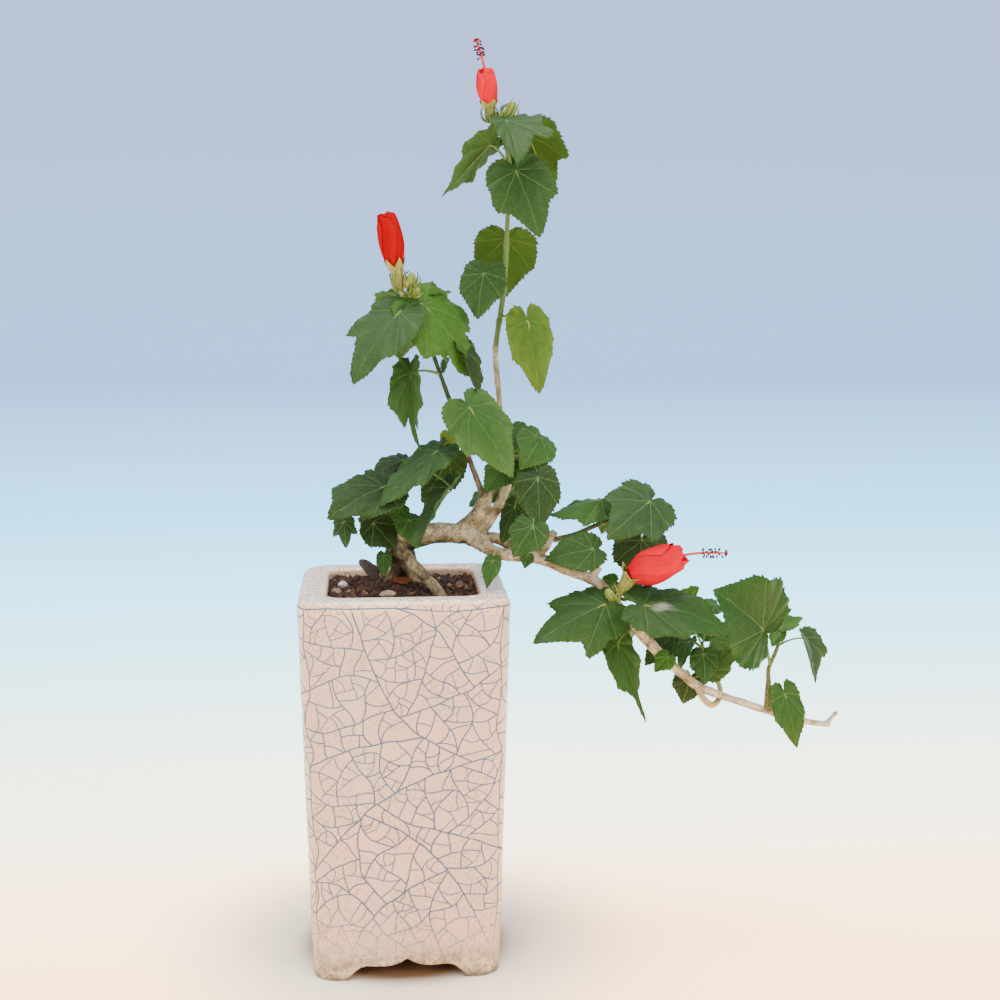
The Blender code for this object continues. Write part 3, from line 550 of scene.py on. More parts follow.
def growCrackle():
    rng = random.Random(crackle["seed"])
    cracks, cells = [], []
    uprights = []
    for quarter in range(4):
        for share in crackle["cornerLines"]:
            uprights.append(quarter * quarterLength + (share + rng.uniform(-0.05, 0.05)) * arcLength)
    around = quarterLength * 4
    low, mid, top = crackle["lowest"], crackle["rimLine"], crackle["top"]
    lines = [wavyLine((s, low), (s, mid), rng, 5.0) for s in uprights]
    rims = [wavyLine((s, mid), (s + rng.uniform(-2, 2), top), rng, 1.0) for s in uprights]
    for line in lines:
        cracks.append((line, 0))
    for line in rims:
        cracks.append((line, 4))
    for i, s in enumerate(uprights):
        j = (i + 1) % len(uprights)
        jump = around if j == 0 else 0.0
        shifted = [(x + jump, y) for x, y in lines[j]]
        shiftedRim = [(x + jump, y) for x, y in rims[j]]
        floorLine = wavyLine(lines[i][0], shifted[0], rng, 0.0)
        midLine = wavyLine(lines[i][-1], shifted[-1], rng, 2.2)
        topLine = wavyLine(rims[i][-1], shiftedRim[-1], rng, 0.0)
        cracks.append((midLine, 1))
        cells.append((floorLine[:-1] + shifted[:-1] + midLine[::-1][:-1] + lines[i][::-1][:-1], 1, False))
        cells.append((midLine[:-1] + shiftedRim[:-1] + topLine[::-1][:-1] + rims[i][::-1][:-1], 3, True))
    while cells:
        cell, level, onRim = cells.pop()
        area = cellArea(cell)
        limit = crackle["smallest"] + (crackle["largest"] - crackle["smallest"]) * rng.random() ** 1.4 * (0.6 if onRim else 1.0)
        if area < limit:
            continue
        made = None
        for _ in range(6):
            made = splitCell(cell, rng)
            if made and min(cellArea(made[0]), cellArea(made[1])) > area * 0.16:
                break
            made = None
        if not made:
            continue
        cracks.append((made[2], level))
        cells += [(made[0], level + 1, onRim), (made[1], level + 1, onRim)]
    return cracks


def makeCrackleLines(material):
    piece = newPiece()
    widths = crackle["widths"]
    for curve, level in growCrackle():
        broad = widths[min(level, len(widths) - 1)]
        rows = []
        for k, (s, v) in enumerate(curve):
            if v < cutOutHeight(flatOffset(s)) + 2.2:
                continue
            point, normal = onGlaze(s % (quarterLength * 4), v)
            rows.append((point, normal, v, k))
        if len(rows) < 2:
            continue
        sections, colors = [], []
        for i, (point, normal, v, k) in enumerate(rows):
            ahead = rows[min(i + 1, len(rows) - 1)][0] - rows[max(i - 1, 0)][0]
            side = normal.cross(ahead).normalized()
            fade = max(0.3, min(1.0, (v - 2.0) / 34.0)) * (0.5 if v > pot["height"] - 2.0 else 1.0)
            half = broad * fade * (0.5 + 0.1 * noise.noise(point / 3.0))
            skin = point + normal * crackle["proud"]
            sections.append([at(skin - side * half), at(point - normal * crackle["keel"]), at(skin + side * half)])
            strength = fade * (1.0 if level < 9 else 0.85)
            colors.append([(strength, strength, strength, 1.0)] * 3)
        start = addGrid(piece, sections, True, colors)
        last = start + (len(sections) - 1) * 3
        piece["faces"].append((start + 2, start + 1, start))
        piece["faces"].append((last, last + 1, last + 2))
    return makePiece("crackleLines", piece, [material], (), 0)


def makeGlazeMaterial():
    # crackle-glazed stoneware: a thick, soft, milky glaze, pooled pinkish and worn tan at the foot
    glaze, tree, shader = newMaterial("crackle glazed stoneware", {"Roughness": 0.3, "IOR": 1.5, "Coat Weight": 0.15,
                                                                    "Coat Roughness": 0.2})
    place = addNode(tree, "ShaderNodeTexCoord").outputs["Object"]
    local = addNode(tree, "ShaderNodeVectorMath", {"operation": "SUBTRACT"},
                    {1: tuple(potMiddle)}, {0: place}).outputs[0]
    height = addNode(tree, "ShaderNodeSeparateXYZ", links={0: local}).outputs[2]
    clouds = addNode(tree, "ShaderNodeTexNoise", values={"Scale": 28.0, "Detail": 4.0, "Roughness": 0.6},
                     links={"Vector": local}).outputs[0]
    blush = mixColors(tree, remap(tree, clouds, 0.40, 0.66), toLinear("#C8B1A5"), toLinear("#D2AEA1"))
    patches = addNode(tree, "ShaderNodeTexNoise", values={"Scale": 60.0, "Detail": 3.0}, links={"Vector": local}).outputs[0]
    body = mixColors(tree, remap(tree, patches, 0.5, 0.75, 0.0, 0.5), blush, toLinear("#B9AC9F"))
    # painted light: the outer lip and the top of the rim are made paler, as if lit from above
    body = mixColors(tree, mathNode(tree, "MULTIPLY", remap(tree, height, 0.178, 0.1825), 0.55), body, toLinear("#FFD8B4"))
    body = mixColors(tree, mathNode(tree, "MULTIPLY", remap(tree, height, 0.184, 0.1858), 0.8), body, toLinear("#FFECD6"))
    # the second crackle is finer and stained pale tan: cells of 3 to 5 mm
    bend = addNode(tree, "ShaderNodeTexNoise", values={"Scale": 160.0, "Detail": 1.0}, links={"Vector": local}).outputs[1]
    bent = addNode(tree, "ShaderNodeVectorMath", {"operation": "MULTIPLY_ADD"}, {1: (0.003, 0.003, 0.003)},
                   {0: bend, 2: local}).outputs[0]
    fine = addNode(tree, "ShaderNodeTexVoronoi", {"feature": "DISTANCE_TO_EDGE"}, {"Scale": 400.0}, {"Vector": bent}).outputs[0]
    fineLine = mathNode(tree, "SUBTRACT", 1.0, remap(tree, fine, 0.025, 0.08))
    where = remap(tree, addNode(tree, "ShaderNodeTexNoise", values={"Scale": 45.0}, links={"Vector": local}).outputs[0],
                  0.36, 0.58, 0.12, 0.8)
    body = mixColors(tree, mathNode(tree, "MULTIPLY", fineLine, where), body, toLinear("#A38D72"))
    # pits: iron specks under a millimetre
    pits = addNode(tree, "ShaderNodeTexVoronoi", values={"Scale": 130.0}, links={"Vector": local}).outputs[0]
    pitted = mathNode(tree, "SUBTRACT", 1.0, remap(tree, pits, 0.035, 0.06))
    sparse = remap(tree, addNode(tree, "ShaderNodeTexNoise", values={"Scale": 90.0}, links={"Vector": local}).outputs[0],
                   0.55, 0.62)
    body = mixColors(tree, mathNode(tree, "MULTIPLY", mathNode(tree, "MULTIPLY", pitted, sparse), 0.8), body,
                     toLinear("#8A6248"))
    # wear: tan body showing through at the foot, with a green-brown stain
    grime = addNode(tree, "ShaderNodeTexNoise", values={"Scale": 170.0, "Detail": 5.0, "Roughness": 0.7},
                    links={"Vector": local}).outputs[0]
    low = mathNode(tree, "SUBTRACT", 1.0, remap(tree, height, 0.003, 0.022))
    stain = mathNode(tree, "MULTIPLY", low, remap(tree, grime, 0.38, 0.66), clamp=True)
    body = mixColors(tree, mathNode(tree, "MULTIPLY", low, 0.55), body, toLinear("#D9C39C"))
    body = mixColors(tree, stain, body, toLinear("#75693A"))
    rust = addNode(tree, "ShaderNodeTexNoise", values={"Scale": 520.0, "Detail": 2.0}, links={"Vector": local}).outputs[0]
    rusty = mathNode(tree, "MULTIPLY", low, remap(tree, rust, 0.56, 0.64), clamp=True)
    body = mixColors(tree, mathNode(tree, "MULTIPLY", rusty, 0.75), body, toLinear("#84502F"))
    # darker towards the very bottom edge, mottled
    under = mathNode(tree, "SUBTRACT", 1.0, remap(tree, height, 0.0006, 0.0045))
    body = mixColors(tree, mathNode(tree, "MULTIPLY", under, remap(tree, grime, 0.3, 0.5)), body, toLinear("#6E5A3E"))
    tree.links.new(body, shader.inputs["Base Color"])
    swell = addNode(tree, "ShaderNodeTexNoise", values={"Scale": 210.0, "Detail": 2.0}, links={"Vector": local}).outputs[0]
    lifted = mathNode(tree, "SUBTRACT", swell, mathNode(tree, "MULTIPLY", fineLine, 0.35))
    bump = addNode(tree, "ShaderNodeBump", values={"Strength": 0.12, "Distance": 0.0006}, links={"Height": lifted})
    tree.links.new(bump.outputs[0], shader.inputs["Normal"])
    return glaze


def makeCrackInk():
    # stain rubbed into the cracks: blue-grey, paler where the crack is tight
    ink, tree, shader = newMaterial("stained crackle lines", {"Roughness": 0.5})
    tint = addNode(tree, "ShaderNodeVertexColor", {"layer_name": "tint"}).outputs[0]
    strength = addNode(tree, "ShaderNodeSeparateColor", links={0: tint}).outputs[0]
    tree.links.new(mixColors(tree, strength, toLinear("#AAA8A4"), toLinear("#3E668C")), shader.inputs["Base Color"])
    return ink


makePotShell(makeGlazeMaterial())
makeCrackleLines(makeCrackInk())
print("pot thrown, glazed and crackled")


# ---- potting mix and what lies on it

soil = {
    "half": 37.6, "corner": 7.0, "level": 180.9, "deep": 176.0, "mound": 2.4, "moundPlace": (-3.0, 6.0),
    "moundReach": 22.0, "lumps": 0.9, "grains": 2280, "smallGrain": 0.0006, "largeGrain": 0.0022, "seed": 5,
    "colors": ("#1C100B", "#2E1A11", "#42261A", "#63402A", "#A08465"),
}


def soilHeight(x, y):
    away = math.dist((x, y), soil["moundPlace"]) / soil["moundReach"]
    rise = soil["mound"] * math.exp(-away * away)
    lumps = noise.noise(Vector((x / 5.0, y / 5.0, 0.4))) + 0.5 * noise.noise(Vector((x / 2.2, y / 2.2, 3.0)))
    edge = max(0.0, 1 - ((max(abs(x), abs(y)) / soil["half"]) ** 6))
    return soil["level"] + rise * edge + lumps * soil["lumps"] * (0.35 + 0.65 * edge)


def makeSoilBed(material):
    steps = 44
    half = soil["half"] - 1.2
    bm = bmesh.new()
    rows = []
    for i in range(steps + 1):
        row = []
        for j in range(steps + 1):
            x, y = (i / steps * 2 - 1) * half, (j / steps * 2 - 1) * half
            row.append(bm.verts.new(at((x, y, soilHeight(x, y)))))
        rows.append(row)
    for i in range(steps):
        for j in range(steps):
            bm.faces.new((rows[i][j], rows[i + 1][j], rows[i + 1][j + 1], rows[i][j + 1]))
    rim = [edge for edge in bm.edges if edge.is_boundary]
    pulled = bmesh.ops.extrude_edge_only(bm, edges=rim)["geom"]
    for vert in [item for item in pulled if isinstance(item, bmesh.types.BMVert)]:
        vert.co.z = soil["deep"] * mm
    bmesh.ops.holes_fill(bm, edges=[edge for edge in bm.edges if edge.is_boundary])
    bmesh.ops.recalc_face_normals(bm, faces=bm.faces)
    mesh = bpy.data.meshes.new("soilBed")
    bm.to_mesh(mesh)
    bm.free()
    mesh.materials.append(material)
    mesh.shade_smooth()
    bed = bpy.data.objects.new("soilBed", mesh)
    bpy.context.scene.collection.objects.link(bed)
    settle(bed, ("soil",))
    return bed


def makeGrainTree(grainMesh, material):  # strews grains of mixed size and tone over a bed
    tree = bpy.data.node_groups.new("strewn grains", "GeometryNodeTree")
    for name, kind, direction in (("Bed", "NodeSocketGeometry", "INPUT"), ("Count", "NodeSocketInt", "INPUT"),
                                  ("Smallest", "NodeSocketFloat", "INPUT"), ("Largest", "NodeSocketFloat", "INPUT"),
                                  ("Seed", "NodeSocketInt", "INPUT"), ("Grains", "NodeSocketGeometry", "OUTPUT")):
        tree.interface.new_socket(name, in_out=direction, socket_type=kind)
    given = addNode(tree, "NodeGroupInput")
    area = (2 * soil["half"] * mm) ** 2
    density = mathNode(tree, "DIVIDE", given.outputs["Count"], area)
    up = addNode(tree, "ShaderNodeSeparateXYZ", links={0: addNode(tree, "GeometryNodeInputNormal").outputs[0]}).outputs[2]
    top = addNode(tree, "FunctionNodeCompare", {"operation": "GREATER_THAN"}, {1: 0.35}, {0: up}).outputs[0]
    strewn = addNode(tree, "GeometryNodeDistributePointsOnFaces",
                     links={"Mesh": given.outputs["Bed"], "Selection": top, "Density": density,
                            "Seed": given.outputs["Seed"]})
    grain = addNode(tree, "GeometryNodeObjectInfo", values={"Object": grainMesh}).outputs["Geometry"]
    spin = addNode(tree, "FunctionNodeRandomValue", {"data_type": "FLOAT_VECTOR"},
                   {"Max": (6.28, 6.28, 6.28)}, {"Seed": given.outputs["Seed"]}).outputs[0]
    pick = addNode(tree, "FunctionNodeRandomValue", {"data_type": "FLOAT"}, {"Seed": 9}).outputs[1]
    skewed = mathNode(tree, "POWER", pick, 2.6)
    size = addNode(tree, "ShaderNodeMapRange", links={0: skewed, 3: given.outputs["Smallest"],
                                                      4: given.outputs["Largest"]}).outputs[0]
    squash = addNode(tree, "FunctionNodeRandomValue", {"data_type": "FLOAT_VECTOR"},
                     {0: (0.7, 0.8, 0.55), 1: (1.3, 1.1, 0.9), "Seed": 12}).outputs[0]
    shape = addNode(tree, "ShaderNodeVectorMath", {"operation": "SCALE"}, links={0: squash, "Scale": size}).outputs[0]
    placed = addNode(tree, "GeometryNodeInstanceOnPoints",
                     links={"Points": strewn.outputs[0], "Instance": grain, "Rotation": spin, "Scale": shape})
    tone = addNode(tree, "FunctionNodeRandomValue", {"data_type": "FLOAT"}, {"Seed": 21}).outputs[1]
    toned = addNode(tree, "GeometryNodeStoreNamedAttribute", {"data_type": "FLOAT", "domain": "INSTANCE"},
                    {"Name": "tone"}, {"Geometry": placed.outputs[0], "Value": tone}).outputs[0]
    real = addNode(tree, "GeometryNodeRealizeInstances", links={0: toned}).outputs[0]
    painted = addNode(tree, "GeometryNodeSetMaterial", values={"Material": material}, links={"Geometry": real}).outputs[0]
    addNode(tree, "NodeGroupOutput", links={0: painted})
    return tree


def runTree(carrier, tree, inputs, name):
    sockets = {item.name: item.identifier for item in tree.interface.items_tree if item.in_out == "INPUT"}
    modifier = carrier.modifiers.new("nodes", "NODES")
    modifier.node_group = tree
    for label, value in inputs.items():
        modifier[sockets[label]] = value
    evaluated = carrier.evaluated_get(bpy.context.evaluated_depsgraph_get())
    mesh = bpy.data.meshes.new_from_object(evaluated)
    mesh.name = name
    carrier.modifiers.remove(modifier)
    made = bpy.data.objects.new(name, mesh)
    bpy.context.scene.collection.objects.link(made)
    return made


def lumpMesh(name, roughness, seed, detail=2):
    bm = bmesh.new()
    bmesh.ops.create_icosphere(bm, subdivisions=detail, radius=1.0)
    for vert in bm.verts:
        vert.co *= 1.0 + roughness * noise.noise(vert.co * 1.3 + Vector((seed, 0, 0)))
    mesh = bpy.data.meshes.new(name)
    bm.to_mesh(mesh)
    bm.free()
    return mesh


def makeSoilMaterials():
    # peat and fired clay grit, damp: dull, dark, red-brown
    bedding, tree, shader = newMaterial("damp peat bedding", {"Roughness": 0.95})
    place = addNode(tree, "ShaderNodeTexCoord").outputs["Object"]
    crumbs = addNode(tree, "ShaderNodeTexNoise", values={"Scale": 900.0, "Detail": 3.0}, links={"Vector": place}).outputs[0]
    tree.links.new(mixColors(tree, crumbs, toLinear("#1C100C"), toLinear("#4A2A1E")), shader.inputs["Base Color"])
    grit, tree, shader = newMaterial("damp clay grit", {"Roughness": 0.8})
    tone = addNode(tree, "ShaderNodeAttribute", {"attribute_name": "tone"}).outputs["Fac"]
    ramp = addNode(tree, "ShaderNodeValToRGB", links={0: tone})
    stops = (0.0, 0.35, 0.68, 0.9, 0.985)
    while len(ramp.color_ramp.elements) < len(stops):
        ramp.color_ramp.elements.new(0.5)
    for element, stop, color in zip(ramp.color_ramp.elements, stops, soil["colors"]):
        element.position = stop
        element.color = toLinear(color)
    place = addNode(tree, "ShaderNodeTexCoord").outputs["Object"]
    fleck = addNode(tree, "ShaderNodeTexNoise", values={"Scale": 1400.0, "Detail": 2.0}, links={"Vector": place}).outputs[0]
    tree.links.new(mixColors(tree, remap(tree, fleck, 0.45, 0.7, 0.0, 0.5), ramp.outputs[0], toLinear("#231310")),
                   shader.inputs["Base Color"])
    return bedding, grit


strewn = {
    "chip": {"place": (-15.5, 27.0, 187.0), "size": (6.6, 0.8, 3.1), "turn": (-0.35, 0.72, 0.1), "color": "#5F5852"},
    "paleStone": {"place": (-29.3, 4.5, 184.0), "size": (2.1, 1.8, 1.5), "turn": (0.1, 0.2, 0.4), "color": "#D9D6D2"},
    "tanStone": {"place": (-32.0, -8.0, 183.0), "size": (2.6, 2.0, 1.5), "turn": (0.0, 0.1, 0.9), "color": "#93806A"},
    "flatStone": {"place": (-7.5, -17.5, 183.4), "size": (3.6, 2.4, 1.5), "turn": (0.1, 0.0, 0.2), "color": "#B7A68C"},
    "greyStone": {"place": (9.5, 24.0, 183.4), "size": (3.4, 2.6, 2.0), "turn": (0.1, 0.3, 0.2), "color": "#9B9386"},
    "cornerStone": {"place": (28.5, 3.5, 183.0), "size": (2.6, 2.4, 1.8), "turn": (0.0, 0.0, 0.6), "color": "#8B6750"},
}


def makeStrewn():
    # weathered stone and a chip of old bark: matt, with a faint grain
    for name, row in strewn.items():
        stone, tree, shader = newMaterial("weathered " + name, {"Roughness": 0.85})
        place = addNode(tree, "ShaderNodeTexCoord").outputs["Object"]
        grain = addNode(tree, "ShaderNodeTexNoise", values={"Scale": 700.0, "Detail": 4.0}, links={"Vector": place}).outputs[0]
        dark = mixTint(toLinear(row["color"]), toLinear("#2B2018"), 0.55)
        tree.links.new(mixColors(tree, remap(tree, grain, 0.35, 0.7), toLinear(row["color"]), dark), shader.inputs["Base Color"])
        mesh = lumpMesh(name, 0.35, len(name) * 1.7, 3)
        turn = Matrix.Rotation(row["turn"][0], 4, "X") @ Matrix.Rotation(row["turn"][1], 4, "Y")
        turn = turn @ Matrix.Rotation(row["turn"][2], 4, "Z")
        mesh.transform(Matrix.Translation(at(row["place"])) @ turn @ Matrix.Diagonal((*(Vector(row["size"]) * mm), 1.0)))
        mesh.materials.append(stone)
        mesh.shade_smooth()
        made = bpy.data.objects.new(name, mesh)
        bpy.context.scene.collection.objects.link(made)
        settle(made, ())


bedding, grit = makeSoilMaterials()
soilBed = makeSoilBed(bedding)
grainMold = bpy.data.objects.new("grainMold", lumpMesh("grain", 0.5, 2.0))
bpy.context.scene.collection.objects.link(grainMold)
soilGrains = runTree(soilBed, makeGrainTree(grainMold, grit),
                     {"Count": soil["grains"], "Smallest": soil["smallGrain"], "Largest": soil["largeGrain"],
                      "Seed": soil["seed"]}, "soilGrains")
bpy.data.objects.remove(grainMold)
settle(soilGrains, ())
makeStrewn()
print("potting mix laid:", len(soilGrains.data.polygons), "faces of grit")


# ---- trunk, boughs and woody stems

wood = {
    "voxel": 0.42, "lumps": 0.55, "lumpGrain": 5.0, "wrinkles": 0.24, "wrinkleRun": 4.0, "fine": 0.09,
    "barkColors": ("#261E13", "#50452F", "#847A5E", "#B8B29C"), "greenStem": "#4E6A34", "darkGreenStem": "#26391B",
}
# each limb: rows of x, y, z and radius, and its colour: bark tone low and high, green low and high
limbs = {
    "stem": {"route": ((4, 23, 178, 9.0), (2, 19, 189, 7.0), (-1, 13, 202, 7.2), (8, 9, 207, 5.6), (21, 6, 209, 5.2),
                       (33, 3, 208, 4.6), (41, 1, 204.5, 4.0)), "tone": (0.42, 0.80)},
    "frontRoot": {"route": ((20, -20, 178, 3.2), (16, -14, 184.5, 2.9), (7, -7, 194, 2.8), (-2, 4, 202, 3.4)),
                  "tone": (0.56, 0.5)},
    "middleRoot": {"route": ((12, 10, 178, 3.6), (6, 12, 186, 3.0), (-1, 14, 196, 4.0)), "tone": (0.62, 0.45)},
    "leftRoot": {"route": ((-10, 13, 178, 3.4), (-5, 13, 186, 2.6), (0, 14, 196, 4.0)), "tone": (0.45, 0.35)},
    "boughUpright": {"route": ((27, 5, 209, 4.2), (34, 4, 214, 4.2), (40, 4, 222, 3.9), (42, 5, 230, 3.0)),
                     "tone": (0.70, 0.62)},
    "uprightStub": {"route": ((35, 3, 206, 3.2), (42, 4, 213.5, 3.0), (47, 5, 221, 2.5), (53, 8, 233, 2.3)), "tone": (0.66, 0.84)},
    "sideStub": {"route": ((45, 4, 218, 1.6), (49, 0, 221, 1.2)), "tone": (0.6, 0.6)},
    "boughInner": {"route": ((33, 2, 206.5, 3.8), (37, 1, 205, 3.6), (45, -2, 200.5, 3.2), (52, -3, 199, 3.1),
                             (68, -5, 197, 2.9), (80, -6, 192, 2.8), (88, -6.5, 189, 2.8), (95.8, -7.9, 185.2, 2.8),
                             (99, -8, 182, 2.9), (105, -8, 174, 2.9), (118, -8, 159, 2.8), (128, -7, 148, 2.6),
                             (139, -5, 138, 2.4), (149, -4, 130, 2.2), (172, -2, 121, 1.9), (191, 0, 114, 1.75),
                             (203, 2, 110, 1.6), (218, 4, 107, 1.45)), "tone": (0.72, 0.78)},
    "frontStub": {"route": ((92, -7, 187, 2.0), (97, -6, 193, 1.8)), "tone": (0.7, 0.8)},
    "endStub": {"route": ((216, 4, 107.5, 1.3), (222, 6, 113, 1.05)), "tone": (0.7, 0.75)},
    "boughBack": {"route": ((39, 3, 206, 3.0), (46, 6, 206, 2.9), (52, 8, 203, 2.8), (64, 8, 197, 2.6), (70, 7, 199, 2.3),
                            (76, 6, 209, 1.9)), "tone": (0.55, 0.74)},
    "stemLeft": {"route": ((40, 5, 228, 1.7), (34, 4, 244, 1.4), (29, 2, 260, 1.25), (24, 0, 274, 1.2),
                           (19, -2, 288, 1.15), (15, -4, 299, 1.1)), "tone": (0.42, 0.42), "green": (0.42, 0.62, 2)},
    "stemTop": {"route": ((43, 6, 226, 2.0), (47, 8, 239, 1.8), (49, 10, 265, 1.5), (48, 11, 282, 1.45),
                          (47, 12, 300, 1.4), (51, 12, 328, 1.35), (53, 12, 365, 1.2)), "tone": (0.62, 0.6),
                "green": (0.52, 0.58, 1), "rings": (0.14, 0.30, 0.41, 0.54, 0.63, 0.74, 0.88)},
}
woodNodes = ("trunk", "bough_upright", "bough_cascade_inner", "bough_cascade_outer", "bough_back", "stem_left", "stem_top")


def makeWood(material):
    bones = newPiece()
    samples = []
    for name, limb in limbs.items():
        addTube(bones, limb["route"], ((1, 1, 1, 1), (1, 1, 1, 1)), 12)
        rows = curvePath(limb["route"], 14)
        steps = [0.0]
        for a, b in zip(rows, rows[1:]):
            steps.append(steps[-1] + (Vector(b[:3]) - Vector(a[:3])).length)
        for i, row in enumerate(rows):
            after = rows[min(i + 1, len(rows) - 1)]
            before = rows[max(i - 1, 0)]
            ahead = (Vector(after[:3]) - Vector(before[:3])).normalized()
            samples.append((at(row), ahead, row[3], steps[i], steps[i] / steps[-1], name))
    mesh = bpy.data.meshes.new("bones")
    mesh.from_pydata(bones["verts"], [], bones["faces"])
    body = bpy.data.objects.new("bones", mesh)
    bpy.context.scene.collection.objects.link(body)
    fuse = body.modifiers.new("fuse", "REMESH")
    fuse.mode = "VOXEL"
    fuse.voxel_size = wood["voxel"] * mm
    soften = body.modifiers.new("soften", "SMOOTH")
    soften.factor = 0.5
    soften.iterations = 5
    made = bpy.data.meshes.new_from_object(body.evaluated_get(bpy.context.evaluated_depsgraph_get()))
    bpy.data.objects.remove(body)
    tree = KDTree(len(samples))
    for i, sample in enumerate(samples):
        tree.insert(sample[0], i)
    tree.balance()
    tints, moves = [], []
    for vert in made.vertices:
        _, index, _ = tree.find(vert.co)
        spine, ahead, radius, run, share, name = samples[index]
        out = vert.co - spine
        out -= ahead * out.dot(ahead)
        thick = radius * mm
        moved = vert.normal
        limb = limbs[name]
        place = vert.co / mm
        size = min(1.0, radius / 4.0)
        grainPlace = place - ahead * place.dot(ahead) * 0.72
        lump = noise.noise(place / wood["lumpGrain"]) * wood["lumps"] * size
        wrinkle = noise.noise(grainPlace / 1.1 + Vector((name.__len__() * 3.0, 0, 0))) * wood["wrinkles"] * (0.3 + size)
        fine = noise.noise(place / 0.55) * wood["fine"]
        ring = 0.0
        for seat in limb.get("rings", ()):
            gap = (share - seat) * 165.0
            ring += 0.32 * math.exp(-(gap / 0.9) ** 2) - 0.12 * math.exp(-((gap - 1.8) / 0.8) ** 2)
        moves.append(moved * (lump + wrinkle + fine + ring) * mm)
        low, high = limb["tone"]
        tone = low + (high - low) * share
        patches = noise.noise(place / 6.0 + Vector((9, 2, 5))) * 0.24 + noise.noise(place / 2.2) * 0.12
        # painted shade: darker on faces that look down and on faces that look away to the back
        paintedShade = min(0.0, vert.normal.z + 0.15) * 0.38
        paintedShade -= max(0.0, vert.normal.y - 0.2) * 0.16
        # painted shade where the roots meet the trunk
        if name in ("stem", "leftRoot", "middleRoot"):
            paintedShade -= max(0.0, 1 - abs(place.z - 196) / 9.0) * 0.22 * (1 if share < 0.5 or name != "stem" else 0)
        # the tone also follows the relief: darker in the hollows of the wrinkles and lumps
        tone = max(0.02, min(1.0, tone + patches * 1.1 + paintedShade + wrinkle * 0.9 + lump * 0.3))
        greenness, kind = 0.0, 1
        if "green" in limb:
            start, end, kind = limb["green"]
            greenness = max(0.0, min(1.0, (share - start) / (end - start)))
        tints.append((tone, greenness, 1.0 if kind == 2 else 0.0, 1.0))
    for vert, move in zip(made.vertices, moves):
        vert.co += move
    made.name = "barkedWood"
    layer = made.color_attributes.new("tint", "FLOAT_COLOR", "POINT")
    for i, color in enumerate(tints):
        layer.data[i].color = color
    made.materials.clear()
    made.materials.append(material)
    made.shade_smooth()
    piece = bpy.data.objects.new("barkedWood", made)
    bpy.context.scene.collection.objects.link(piece)
    settle(piece, woodNodes)
    return piece


def makeBark():
    # thin young bark: pale cork over tan, rubbed, darker in the hollows, with painted shade on its undersides and back,
    # and green young shoots
    bark, tree, shader = newMaterial("thin corky bark", {"Roughness": 0.78})
    tint = addNode(tree, "ShaderNodeVertexColor", {"layer_name": "tint"}).outputs[0]
    parts = addNode(tree, "ShaderNodeSeparateColor", links={0: tint}).outputs
    place = addNode(tree, "ShaderNodeTexCoord").outputs["Object"]
    speckle = addNode(tree, "ShaderNodeTexNoise", values={"Scale": 1100.0, "Detail": 3.0, "Roughness": 0.65},
                      links={"Vector": place}).outputs[0]
    tone = mathNode(tree, "ADD", parts[0], mathNode(tree, "MULTIPLY", mathNode(tree, "SUBTRACT", speckle, 0.5), 0.42))
    ramp = addNode(tree, "ShaderNodeValToRGB", links={0: tone})
    stops = (0.05, 0.38, 0.62, 0.88)
    while len(ramp.color_ramp.elements) < len(stops):
        ramp.color_ramp.elements.new(0.5)
    for element, stop, color in zip(ramp.color_ramp.elements, stops, wood["barkColors"]):
        element.position = stop
        element.color = toLinear(color)
    green = mixColors(tree, parts[2], toLinear(wood["greenStem"]), toLinear(wood["darkGreenStem"]))
    lenticel = addNode(tree, "ShaderNodeTexVoronoi", values={"Scale": 330.0}, links={"Vector": place}).outputs[0]
    dots = mathNode(tree, "SUBTRACT", 1.0, remap(tree, lenticel, 0.10, 0.19))
    colored = mixColors(tree, parts[1], ramp.outputs[0], green)
    colored = mixColors(tree, mathNode(tree, "MULTIPLY", dots, 0.6), colored, toLinear("#4A3C28"))
    tree.links.new(colored, shader.inputs["Base Color"])
    bump = addNode(tree, "ShaderNodeBump", values={"Strength": 0.55, "Distance": 0.0003}, links={"Height": speckle})
    tree.links.new(bump.outputs[0], shader.inputs["Normal"])
    return bark


barkedWood = makeWood(makeBark())
print("wood grown:", len(barkedWood.data.polygons), "faces")


# ---- leaves

leafShape = {
    # turn from the midrib in degrees and reach as a share of the blade: from the tip, past the side lobe, to the sinus
    "outline": ((0, 1.0), (5, 0.92), (12, 0.82), (20, 0.735), (29, 0.67), (36, 0.645), (43, 0.625), (51, 0.585),
                (64, 0.52), (80, 0.465), (92, 0.43), (110, 0.37), (126, 0.31), (145, 0.235), (160, 0.17),
                (172, 0.10), (180, 0.05)),
    "lobe": {12: -0.04, 20: -0.09, 29: -0.12, 36: -0.03, 43: 0.09, 51: 0.035, 64: -0.06, 80: -0.045, 92: 0.01, 110: 0.02},
    "heart": {110: 0.04, 126: 0.085, 145: 0.11, 160: 0.10, 172: 0.05},
    "toothPitch": 2.5, "toothDepth": 0.95, "veinPitch": 39.5,
    "rings": (0.0, 0.09, 0.19, 0.3, 0.42, 0.54, 0.66, 0.77, 0.87, 0.945, 1.0),
    "quilt": 0.046, "ribbing": 0.011, "wave": 0.042, "wander": 0.03, "thick": 0.28,
}
petiole = {"radius": 0.52, "rise": 0.08, "foot": 1.5, "midrib": (0.12, 0.3, 0.5, 0.7, 0.86), "color": "#52702C"}
